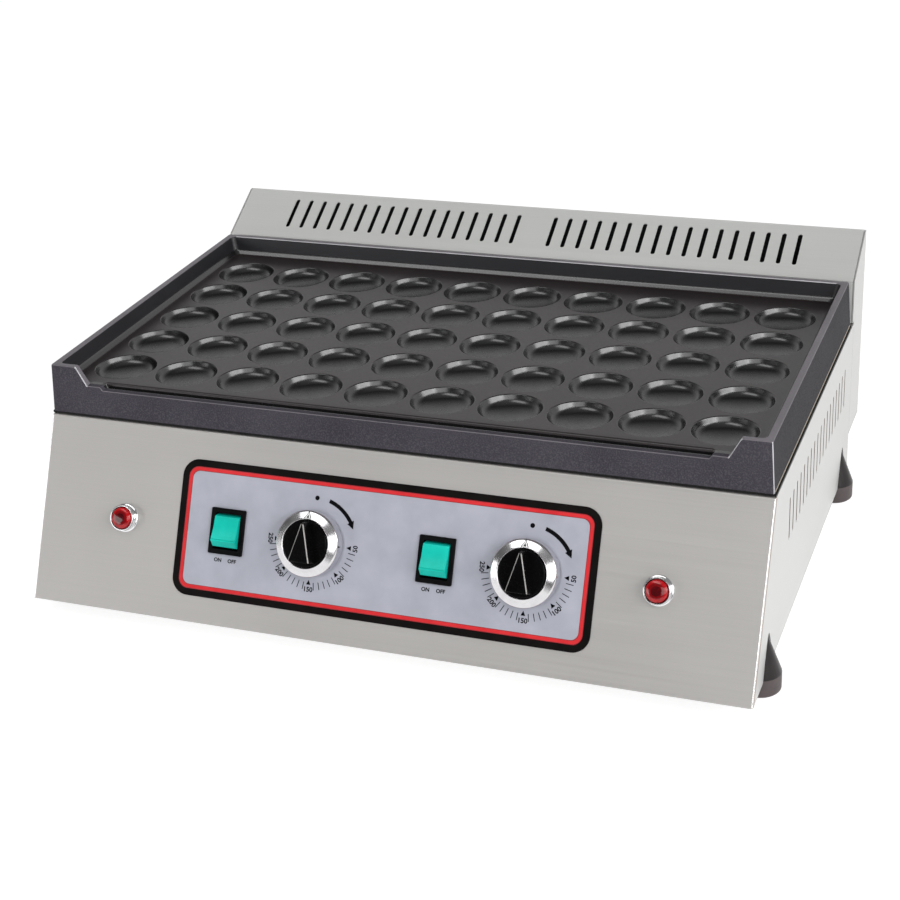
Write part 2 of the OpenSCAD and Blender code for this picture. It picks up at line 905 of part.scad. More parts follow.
// Rocker, drawn about its pin: a shallow dish between two ridges, with ends that clear the opening
module rocker(x) {
    width = rocker_w - 2 * rocker_gap;
    ridge = rocker_reach * 0.72;
    ridge_h = sqrt(rocker_reach * rocker_reach - ridge * ridge);
    end = sqrt(rocker_reach * rocker_reach - pivot_depth * pivot_depth);
    dish = 0.8;
    keel = 2 * pivot_r;
    pin_len = rocker_w + 2 * switch_wall;
    color([0.1, 0.8, 0.66])
        on_front(x, control_down, overlay_t - pivot_depth)
            rotate([-rocker_tilt, 0, 0]) {
                translate([-width / 2, 0, 0])
                    rotate([90, 0, 90])
                        linear_extrude(width)
                            polygon([
                                [-end, pivot_depth], [-ridge, ridge_h], [0, ridge_h - dish],
                                [ridge, ridge_h], [end, pivot_depth], [end - 1, -keel],
                                [keel, -2 * keel], [-keel, -2 * keel], [1 - end, -keel]
                            ]);
                translate([-pin_len / 2, 0, 0])
                    rotate([0, 90, 0])
                        cylinder(r = pivot_r, h = pin_len);
            }
}

module left_rocker() {
    rocker(left_switch_x);
}

module right_rocker() {
    rocker(right_switch_x);
}

// The grip's bar: a wedge that narrows towards its pointing end, with sides that lean inwards
module grip_bar(height) {
    tip_y = sqrt(pow(grip_r - bar_in, 2) - bar_tip * bar_tip);
    end_y = -sqrt(pow(grip_r - bar_in, 2) - bar_end * bar_end);
    turn = atan((bar_end - bar_tip) / (tip_y - end_y));
    difference() {
        linear_extrude(height)
            polygon([[-bar_tip, tip_y], [bar_tip, tip_y], [bar_end, end_y], [-bar_end, end_y]]);
        both_sides()
            translate([bar_tip, tip_y, 0])
                rotate([0, -bar_draft, turn])
                    translate([0, -3 * grip_r, -height])
                        cube([2 * grip_r, 4 * grip_r, 4 * height]);
        translate([-2 * grip_r, tip_y, 0])
            rotate([bar_draft, 0, 0])
                translate([0, 0, -height])
                    cube([4 * grip_r, 2 * grip_r, 4 * height]);
    }
}

// Black grip: a disc on a hub, with a bar across it
module knob_grip(x) {
    bore = spindle_r + hole_gap / 2;
    color([0.05, 0.05, 0.05])
        on_front(x, control_down, overlay_t)
            difference() {
                union() {
                    rotate_extrude()
                        polygon([
                            [0, hub_z], [2 * spindle_r, hub_z], [2 * spindle_r, seat_z - 1.5],
                            [knob_r - 2 * ring_wall, seat_z - 1.5], [knob_r - 2 * ring_wall, seat_z],
                            [grip_r, seat_z], [grip_r, grip_top - 1], [grip_r - 1, grip_top],
                            [0, grip_top]
                        ]);
                    translate([0, 0, grip_top - cut])
                        grip_bar(bar_h - grip_top + cut);
                }
                translate([0, 0, hub_z - cut])
                    cylinder(r = bore, h = spindle_top - hub_z + cut + hole_gap);
            }
}

module left_knob_grip() {
    knob_grip(left_knob_x);
}

module right_knob_grip() {
    knob_grip(right_knob_x);
}

// Metal ring: a skirt with a shallow channel between two lips, seated on the grip's flange
module knob_ring(x) {
    bore = grip_r + hole_gap;
    skirt = knob_r - ring_wall;
    color([0.85, 0.85, 0.86])
        on_front(x, control_down, overlay_t)
            rotate_extrude()
                polygon([
                    [bore, seat_z], [bore, ring_h - 0.8], [bore + 0.8, ring_h],
                    [bore + 2, ring_h - 0.8], [knob_r - 2.6, ring_h - 1.2], [knob_r - 0.9, ring_h],
                    [knob_r, ring_h - 0.8], [knob_r, skirt_gap], [skirt, skirt_gap],
                    [skirt, seat_z]
                ]);
}

module left_knob_ring() {
    knob_ring(left_knob_x);
}

module right_knob_ring() {
    knob_ring(right_knob_x);
}

// Turning spindle with a flat where the grip holds it
module spindle(x) {
    flat = 1;
    color([0.7, 0.68, 0.62])
        on_front(x, control_down, overlay_t)
            difference() {
                translate([0, 0, -spindle_foot])
                    cylinder(r = spindle_r, h = spindle_foot + spindle_top);
                translate([-spindle_r, spindle_r - flat, hub_z + cut])
                    cube([2 * spindle_r, 2 * flat, spindle_top]);
            }
}

module left_spindle() {
    spindle(left_knob_x);
}

module right_spindle() {
    spindle(right_knob_x);
}

// Thermostat: a moulded body on a bracket, with a threaded neck through the panel
module thermostat(x) {
    bracket_over = 3;
    color([0.86, 0.85, 0.8])
        on_front(x, control_down)
            difference() {
                union() {
                    translate([-stat_w / 2, -stat_len / 2, -stat_top - stat_depth])
                        cube([stat_w, stat_len, stat_depth]);
                    translate([-stat_w / 2 - bracket_over, -stat_len / 2, -stat_top])
                        cube([stat_w + 2 * bracket_over, stat_len, bracket_t]);
                    translate([0, 0, -stat_top])
                        cylinder(r = neck_r, h = stat_top + overlay_t + neck_h);
                }
                translate([0, 0, overlay_t - spindle_foot - hole_gap])
                    cylinder(r = spindle_r + running_gap, h = spindle_foot + spindle_top);
            }
}

module left_thermostat() {
    thermostat(left_knob_x);
}

module right_thermostat() {
    thermostat(right_knob_x);
}

module thermostat_nuts() {
    color([0.75, 0.72, 0.6])
        for (x = [left_knob_x, right_knob_x])
            on_front(x, control_down, overlay_t)
                difference() {
                    cylinder(r = 1.6 * neck_r, h = nut_t, $fn = 6);
                    translate([0, 0, -cut])
                        cylinder(r = neck_r + running_gap, h = nut_t + 2 * cut);
                }
}

// Lamp bezel: a flange, a collar round the lens and a neck through the panel
module lamp_bezel(x) {
    collar = lens_r + 1.1;
    color([0.85, 0.85, 0.86])
        on_front(x, control_down)
            rotate_extrude()
                polygon([
                    [0, -lamp_neck], [lamp_neck_r, -lamp_neck], [lamp_neck_r, 0], [lamp_r, 0],
                    [lamp_r, lamp_flange - 0.5], [lamp_r - 0.5, lamp_flange], [collar, lamp_flange],
                    [collar, collar_h - 0.5], [collar - 0.5, collar_h], [lens_r + hole_gap, collar_h],
                    [lens_r + hole_gap, lens_seat], [0, lens_seat]
                ]);
}

module left_lamp_bezel() {
    lamp_bezel(-lamp_x);
}

module right_lamp_bezel() {
    lamp_bezel(lamp_x);
}

module lamp_lens(x) {
    color([0.75, 0.03, 0.04])
        on_front(x, control_down)
            rotate_extrude()
                polygon([
                    [0, lens_seat], [lens_r, lens_seat], [lens_r, collar_h + 0.4],
                    [lens_r - 0.8, lens_h - 1], [0.6 * lens_r, lens_h - 0.3], [0, lens_h]
                ]);
}

module left_lamp_lens() {
    lamp_lens(-lamp_x);
}

module right_lamp_lens() {
    lamp_lens(lamp_x);
}

module lamp_nuts() {
    color([0.75, 0.72, 0.6])
        for (x = [-lamp_x, lamp_x])
            on_front(x, control_down, -sheet - nut_t)
                difference() {
                    cylinder(r = 1.5 * lamp_neck_r, h = nut_t, $fn = 6);
                    translate([0, 0, -cut])
                        cylinder(r = lamp_neck_r + running_gap, h = nut_t + 2 * cut);
                }
}

// One heating zone: straight runs, half-round bends between them and two legs down to terminals
module heating_element(side) {
    near = deck_y + run_front;
    far = near + run_len;
    color([0.3, 0.28, 0.26])
        union() {
            for (i = [0 : runs - 1])
                translate([run_x(side, i), near, element_z])
                    rotate([-90, 0, 0])
                        cylinder(r = element_r, h = run_len);
            for (i = [0 : runs - 2])
                translate([run_x(side, i + 0.5), i % 2 == 0 ? far : near, element_z])
                    rotate([0, 0, i % 2 == 0 ? 0 : 180])
                        rotate_extrude(angle = 180)
                            translate([run_pitch / 2, 0])
                                circle(element_r);
            for (i = [0, runs - 1])
                translate([run_x(side, i), near, element_z - leg_bend]) {
                    rotate([90, 0, -90])
                        rotate_extrude(angle = 90)
                            translate([leg_bend, 0])
                                circle(element_r);
                    translate([0, -leg_bend, leg_z - element_z + leg_bend])
                        cylinder(r = element_r, h = element_z - leg_bend - leg_z);
                }
        }
}

module left_heating_element() {
    heating_element(-1);
}

module right_heating_element() {
    heating_element(1);
}

// Straps under the runs, each with two posts that screw to the plate
module element_clamps() {
    over = 10;
    post_r = 3.5;
    head_r = 4;
    head_h = 2.5;
    color([0.6, 0.6, 0.58])
        for (side = [-1, 1], y = strap_ys)
            union() {
                translate([
                    min(run_x(side, 0), run_x(side, runs - 1)) - over, y - strap_w / 2, strap_z
                ])
                    cube([(runs - 1) * run_pitch + 2 * over, strap_w, strap_t]);
                for (i = [0.5, runs - 1.5])
                    translate([run_x(side, i), y, strap_z]) {
                        cylinder(r = post_r, h = hollow_z - strap_z);
                        translate([0, 0, -head_h])
                            cylinder(r = head_r, h = head_h);
                    }
            }
}

module reflector_tray() {
    lip_inset = tray_inset - tray_lip;
    color([0.8, 0.8, 0.78])
        difference() {
            union() {
                translate([0, 0, tray_z])
                    deck_outline(tray_inset, tray_inset, tray_depth);
                translate([0, 0, frame_z - sheet])
                    deck_outline(lip_inset, lip_inset, sheet);
            }
            translate([0, 0, tray_z + tray_wall])
                deck_outline(tray_inset + tray_wall, tray_inset + tray_wall, tray_depth);
            heater_holes(tray_z - cut, tray_wall + 2 * cut);
            translate([0, 0, frame_z - sheet - cut])
                at_tray_screws()
                    cylinder(r = tray_screw_r + hole_gap, h = sheet + 2 * cut);
        }
}

module insulation_blanket() {
    inset = tray_inset + tray_wall + 0.3;
    color([0.92, 0.9, 0.82])
        difference() {
            translate([0, 0, tray_z + tray_wall])
                deck_outline(inset, inset, blanket_t);
            heater_holes(tray_z, tray_wall + blanket_t + cut);
        }
}

// Sensing bulb under the plate, with its thin tube down to the thermostat's back
module heat_sensor(side, knob_x) {
    x = side * sensor_x;
    bend = [x, drop_y, bulb_z];
    low = [x, drop_y, drop_z];
    home = front_point(knob_x, control_down - stat_len / 4, -stat_top - stat_depth - tube_r / 2);
    above = home + [0, tube_tail, 0];
    color([0.72, 0.5, 0.32])
        union() {
            translate([x, bulb_y, bulb_z])
                rotate([-90, 0, 0])
                    cylinder(r = bulb_r, h = bulb_len);
            rod([x, bulb_y + 1, bulb_z], bend, tube_r);
            rod(bend, low, tube_r);
            rod(low, above, tube_r);
            rod(above, home, tube_r);
            for (corner = [bend, low, above])
                translate(corner)
                    sphere(tube_r + 0.3);
        }
}

module left_heat_sensor() {
    heat_sensor(-1, left_knob_x);
}

module right_heat_sensor() {
    heat_sensor(1, right_knob_x);
}

// Ceramic block on the base plate with three ways for the supply's wires
module terminal_block() {
    ways = 3;
    way_pitch = block_w / ways;
    wire_r = 3;
    screw_r = 2.5;
    color([0.93, 0.92, 0.88])
        translate([-gland_x + gland_r + block_gap, gland_y - block_d / 2 - block_ahead, base_top])
            difference() {
                cube([block_w, block_d, block_h]);
                for (i = [0 : ways - 1])
                    translate([(i + 0.5) * way_pitch, 0, 0]) {
                        translate([0, -cut, block_h / 3])
                            rotate([-90, 0, 0])
                                cylinder(r = wire_r, h = block_d + 2 * cut);
                        translate([0, block_d / 2, block_h / 3])
                            cylinder(r = screw_r, h = block_h);
                    }
            }
}

// Flat tabs on the backs of the switches and thermostats
module spade_terminals() {
    tab_w = 6.3;
    tab_t = 0.8;
    tab_len = 8;
    tab_pitch = 9;
    color([0.8, 0.68, 0.35]) {
        for (x = [left_switch_x, right_switch_x], i = [-1 : 1])
            on_front(x, control_down - i * tab_pitch, overlay_t - switch_depth - tab_len)
                translate([-tab_w / 2, -tab_t / 2, 0])
                    cube([tab_w, tab_t, tab_len]);
        for (x = [left_knob_x, right_knob_x], i = [-1, 1])
            on_front(x + i * tab_pitch, control_down + stat_len / 4, -stat_top - stat_depth - tab_len)
                translate([-tab_w / 2, -tab_t / 2, 0])
                    cube([tab_w, tab_t, tab_len]);
    }
}

// Gland under the base plate: flange, domed cap and a neck up through the sheet
module cable_gland() {
    flange_h = 5;
    neck_top = base_top + gland_neck;
    color([0.1, 0.1, 0.1])
        translate([-gland_x, gland_y, 0])
            rotate_extrude()
                polygon([
                    [cable_r, base_z - gland_len], [cable_r + 2, base_z - gland_len],
                    [gland_r + 2, base_z - gland_len + 5], [gland_r + 2, base_z - flange_h],
                    [gland_r + 4, base_z - flange_h], [gland_r + 4, base_z], [gland_r, base_z],
                    [gland_r, neck_top], [cable_r, neck_top]
                ]);
}

module gland_nut() {
    nut_h = 5;
    color([0.1, 0.1, 0.1])
        translate([-gland_x, gland_y, base_top])
            difference() {
                cylinder(r = gland_r + 5, h = nut_h, $fn = 6);
                translate([0, 0, -cut])
                    cylinder(r = gland_r + running_gap, h = nut_h + 2 * cut);
            }
}

// Rubber foot: a short drum with a cone above it, screwed on from above
module foot(x, y) {
    edge = 1.5;
    hole_r = foot_screw_r + hole_gap;
    hole_z = foot_h - foot_screw_len - hole_gap;
    color([0.3, 0.26, 0.26])
        translate([x, y, 0])
            rotate_extrude()
                polygon([
                    [0, 0], [foot_r - edge, 0], [foot_r, edge], [foot_r, stand_h],
                    [foot_top_r, foot_h], [hole_r, foot_h], [hole_r, hole_z], [0, hole_z]
                ]);
}

module front_left_foot() {
    foot(-foot_x, foot_ys[0]);
}

module front_right_foot() {
    foot(foot_x, foot_ys[0]);
}

module rear_left_foot() {
    foot(-foot_x, foot_ys[1]);
}

module rear_right_foot() {
    foot(foot_x, foot_ys[1]);
}

module foot_screws() {
    head_h = 2.5;
    color([0.7, 0.7, 0.68])
        at_feet()
            union() {
                translate([0, 0, foot_h - foot_screw_len])
                    cylinder(r = foot_screw_r, h = foot_screw_len + sheet + head_h);
                translate([0, 0, base_top])
                    cylinder(r = 1.5 * foot_screw_r, h = head_h);
            }
}

// Bolts up through the casing's flanges into the plate
module plate_bolts() {
    head_z = deck_z - sheet - bolt_head_h;
    color([0.7, 0.7, 0.68])
        at_bolts()
            union() {
                translate([0, 0, head_z])
                    cylinder(r = 1.8 * bolt_r, h = bolt_head_h, $fn = 6);
                translate([0, 0, head_z])
                    cylinder(r = bolt_r, h = plate_z + bolt_grip - head_z);
            }
}

module tray_screws() {
    head_h = 1.8;
    head_z = frame_z - sheet - head_h;
    color([0.7, 0.7, 0.68])
        at_tray_screws()
            union() {
                translate([0, 0, head_z])
                    cylinder(r = 2 * tray_screw_r, h = head_h);
                translate([0, 0, head_z])
                    cylinder(r = tray_screw_r, h = head_h + 2 * sheet);
            }
}

// Flush screws that hold the duct's back to its cheeks
module duct_screws() {
    color([0.7, 0.7, 0.68])
        at_duct_screws()
            union() {
                cylinder(r = 2 * tray_screw_r, h = sheet);
                cylinder(r = tray_screw_r, h = duct_screw_len);
            }
}

cooking_plate();
deck_frame();
deck_gasket();
front_panel();
left_side_panel();
right_side_panel();
back_panel();
base_plate();
vent_ramp();
left_duct_cheek();
right_duct_cheek();
duct_back();
control_overlay();
left_switch_housing();
right_switch_housing();
left_rocker();
right_rocker();
left_knob_grip();
right_knob_grip();
left_knob_ring();
right_knob_ring();
left_spindle();
right_spindle();
left_thermostat();
right_thermostat();
thermostat_nuts();
left_lamp_bezel();
right_lamp_bezel();
left_lamp_lens();
right_lamp_lens();
lamp_nuts();
left_heating_element();
right_heating_element();
element_clamps();
reflector_tray();
insulation_blanket();
left_heat_sensor();
right_heat_sensor();
terminal_block();
spade_terminals();
cable_gland();
gland_nut();
front_left_foot();
front_right_foot();
rear_left_foot();
rear_right_foot();
foot_screws();
plate_bolts();
tray_screws();
duct_screws();
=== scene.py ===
import math
import bmesh
import bpy
from mathutils import Matrix, Vector, geometry


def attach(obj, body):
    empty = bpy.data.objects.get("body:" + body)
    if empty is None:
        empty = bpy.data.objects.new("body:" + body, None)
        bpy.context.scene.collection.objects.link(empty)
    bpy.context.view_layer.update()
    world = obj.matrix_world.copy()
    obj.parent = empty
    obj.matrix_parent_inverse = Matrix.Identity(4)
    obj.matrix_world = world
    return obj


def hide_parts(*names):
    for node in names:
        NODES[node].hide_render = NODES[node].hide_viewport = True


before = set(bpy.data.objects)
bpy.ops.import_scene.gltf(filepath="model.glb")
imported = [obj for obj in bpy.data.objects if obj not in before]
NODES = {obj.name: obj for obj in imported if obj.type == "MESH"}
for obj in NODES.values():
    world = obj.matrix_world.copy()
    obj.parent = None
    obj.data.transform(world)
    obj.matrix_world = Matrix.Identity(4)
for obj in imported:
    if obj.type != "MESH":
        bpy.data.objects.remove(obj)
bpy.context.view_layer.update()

SCENE = bpy.context.scene
MM = 0.001

# Main sizes of the casing and places of its controls, in millimetres, as in the CAD source
HALF_W = 270.0
DECK_D = 310.0
DUCT_D = 45.0
PANEL_H = 124.0
REACH = 61.0
STAND = 14.0
SEAL_T = 1.2
SHEET_T = 1.0
DECK_Y = -(REACH + DECK_D + DUCT_D) / 2 + REACH
DECK_Z = STAND + PANEL_H
PLATE_Z = DECK_Z + (SEAL_T + SHEET_T)
LEAN = math.atan(REACH / PANEL_H)
CONTROL_DOWN = 69.5
OVERLAY_T = 0.6
KNOBS = {"left": -50.3, "right": 108.9}
SWITCHES = {"left": -116.9, "right": 42.8}
LAMPS = {"left": -200.0, "right": 200.0}

# From panel coordinates (across, up the slope, out; mm) to the frame (m)
UPRIGHT = Matrix.Rotation(math.pi / 2 - LEAN, 4, "X")
SLOPE = Matrix.Translation((0, DECK_Y * MM, DECK_Z * MM)) @ UPRIGHT @ Matrix.Scale(MM, 4)
# From plate coordinates (mm, underside at zero, front edge on X) to the frame (m)
PLATE = Matrix.Translation((0, DECK_Y * MM, PLATE_Z * MM)) @ Matrix.Scale(MM, 4)


def on_slope(across, out=0.0):
    """A place on the sloping panel, on the line of the controls."""
    return SLOPE @ Matrix.Translation((across, -CONTROL_DOWN, out))


# Materials

# Noise lies mostly between these two values
NOISE_LOW = 0.3
NOISE_HIGH = 0.7
# Values of the grain's noise where a pale speck starts and where it is full; the specks are partly the
# coating's own speckle and partly painted glints
SPECK_START = 0.46
SPECK_FULL = 0.66


def new_material(name):
    mat = bpy.data.materials.new(name)
    mat.use_nodes = True
    return mat, mat.node_tree.nodes, mat.node_tree.links, mat.node_tree.nodes["Principled BSDF"]


def coords(nodes, links, scale=(1, 1, 1)):
    tex = nodes.new("ShaderNodeTexCoord")
    mapping = nodes.new("ShaderNodeMapping")
    mapping.inputs["Scale"].default_value = scale
    links.new(tex.outputs["Object"], mapping.inputs["Vector"])
    return mapping.outputs["Vector"]


def put(node, values):
    for name, value in values.items():
        node.inputs[name].default_value = value


def noise(nodes, links, vector, scale, detail=3.0, rough=0.5):
    tex = nodes.new("ShaderNodeTexNoise")
    put(tex, {"Scale": scale, "Detail": detail, "Roughness": rough})
    links.new(vector, tex.inputs["Vector"])
    return tex.outputs["Fac"]


def grey(level):
    return (level, level, level)


def ramp(nodes, links, fac, stops):
    """A colour ramp with (position, colour) stops."""
    node = nodes.new("ShaderNodeValToRGB")
    elements = node.color_ramp.elements
    while len(elements) < len(stops):
        elements.new(0.5)
    for element, (position, colour) in zip(elements, stops):
        element.position = position
        element.color = (*colour, 1)
    links.new(fac, node.inputs["Fac"])
    return node.outputs["Color"]


def mottle(nodes, links, fac, low, high):
    """Colours between two shades, led by noise."""
    return ramp(nodes, links, fac, [(NOISE_LOW, low), (NOISE_HIGH, high)])


def blend(nodes, links, a, b, mode="MIX"):
    node = nodes.new("ShaderNodeMix")
    node.data_type = "RGBA"
    node.blend_type = mode
    links.new(a, node.inputs["A"])
    links.new(b, node.inputs["B"])
    return node


def spread(nodes, links, fac, low, high):
    """Values between two limits, led by noise."""
    node = nodes.new("ShaderNodeMapRange")
    put(node, {"From Min": NOISE_LOW, "From Max": NOISE_HIGH, "To Min": low, "To Max": high})
    links.new(fac, node.inputs["Value"])
    return node.outputs["Result"]


def finish_skin(nodes, links, bsdf, fac, rough, depth, strength):
    """Gloss and fine relief of a surface, led by the same noise."""
    links.new(spread(nodes, links, fac, *rough), bsdf.inputs["Roughness"])
    relief = nodes.new("ShaderNodeBump")
    put(relief, {"Strength": strength, "Distance": depth})
    links.new(fac, relief.inputs["Height"])
    links.new(relief.outputs["Normal"], bsdf.inputs["Normal"])


def steel(name, low, high, grain=(3, 900, 900), metallic=0.6, rough=(0.38, 0.5)):
    """Satin stainless sheet: fine brush lines, slow shade changes and a soft gloss."""
    mat, nodes, links, bsdf = new_material(name)
    lines = noise(nodes, links, coords(nodes, links, grain), scale=1.0, detail=4.0, rough=0.6)
    cloud = noise(nodes, links, coords(nodes, links), scale=5.0)
    brushed, clouded = (mottle(nodes, links, fac, low, high) for fac in (lines, cloud))
    tint = blend(nodes, links, brushed, clouded)
    put(tint, {"Factor": 0.65})
    links.new(tint.outputs["Result"], bsdf.inputs["Base Color"])
    finish_skin(nodes, links, bsdf, lines, rough, depth=0.00002, strength=0.25)
    put(bsdf, {"Metallic": metallic})
    return mat


def casting(name, low, high, grain, depth, rough, spec, specks=0.0):
    """Dark coated casting: fine grain, a little mottling and, on the outside, pale specks that are partly
    the coating's own and partly painted glints.
    """
    mat, nodes, links, bsdf = new_material(name)
    vector = coords(nodes, links)
    fine = noise(nodes, links, vector, grain, rough=0.6)
    cloud = noise(nodes, links, vector, scale=14.0, detail=4.0, rough=0.6)
    colour = mottle(nodes, links, cloud, low, high)
    if specks:
        dots = ramp(nodes, links, fine, [(SPECK_START, grey(0)), (SPECK_FULL, grey(specks))])
        add = blend(nodes, links, colour, dots, "ADD")
        put(add, {"Factor": 1.0})
        colour = add.outputs["Result"]
    links.new(colour, bsdf.inputs["Base Color"])
    finish_skin(nodes, links, bsdf, fine, rough, depth, strength=0.7)
    put(bsdf, {"Specular IOR Level": spec})
    return mat


def moulding(name, low, high, rough, grain=900.0, depth=0.00004, spec=0.5):
    """Moulded plastic, ink or rubber: even colour with a faint mottle and a fine moulded skin."""
    mat, nodes, links, bsdf = new_material(name)
    vector = coords(nodes, links)
    fine = noise(nodes, links, vector, grain, detail=2.0)
    cloud = noise(nodes, links, vector, scale=60.0)
    links.new(mottle(nodes, links, cloud, low, high), bsdf.inputs["Base Color"])
    finish_skin(nodes, links, bsdf, fine, rough, depth, strength=0.4)
    put(bsdf, {"Specular IOR Level": spec})
    return mat


def plated(name, low, high, rough=(0.06, 0.12)):
    """Smooth bare or plated metal with faint cloudiness."""
    mat, nodes, links, bsdf = new_material(name)
    cloud = noise(nodes, links, coords(nodes, links), scale=120.0)
    links.new(mottle(nodes, links, cloud, low, high), bsdf.inputs["Base Color"])
    finish_skin(nodes, links, bsdf, cloud, rough, depth=0.00001, strength=0.3)
    put(bsdf, {"Metallic": 1.0})
    return mat


def lens_material(name, low, high):
    """Glossy red plastic that lets some light through."""
    mat, nodes, links, bsdf = new_material(name)
    cloud = noise(nodes, links, coords(nodes, links), scale=260.0, detail=2.0)
    links.new(mottle(nodes, links, cloud, low, high), bsdf.inputs["Base Color"])
    finish_skin(nodes, links, bsdf, cloud, rough=(0.04, 0.1), depth=0.00005, strength=0.4)
    put(bsdf, {"Transmission Weight": 0.3, "Coat Weight": 0.2, "Specular IOR Level": 0.35})
    return mat


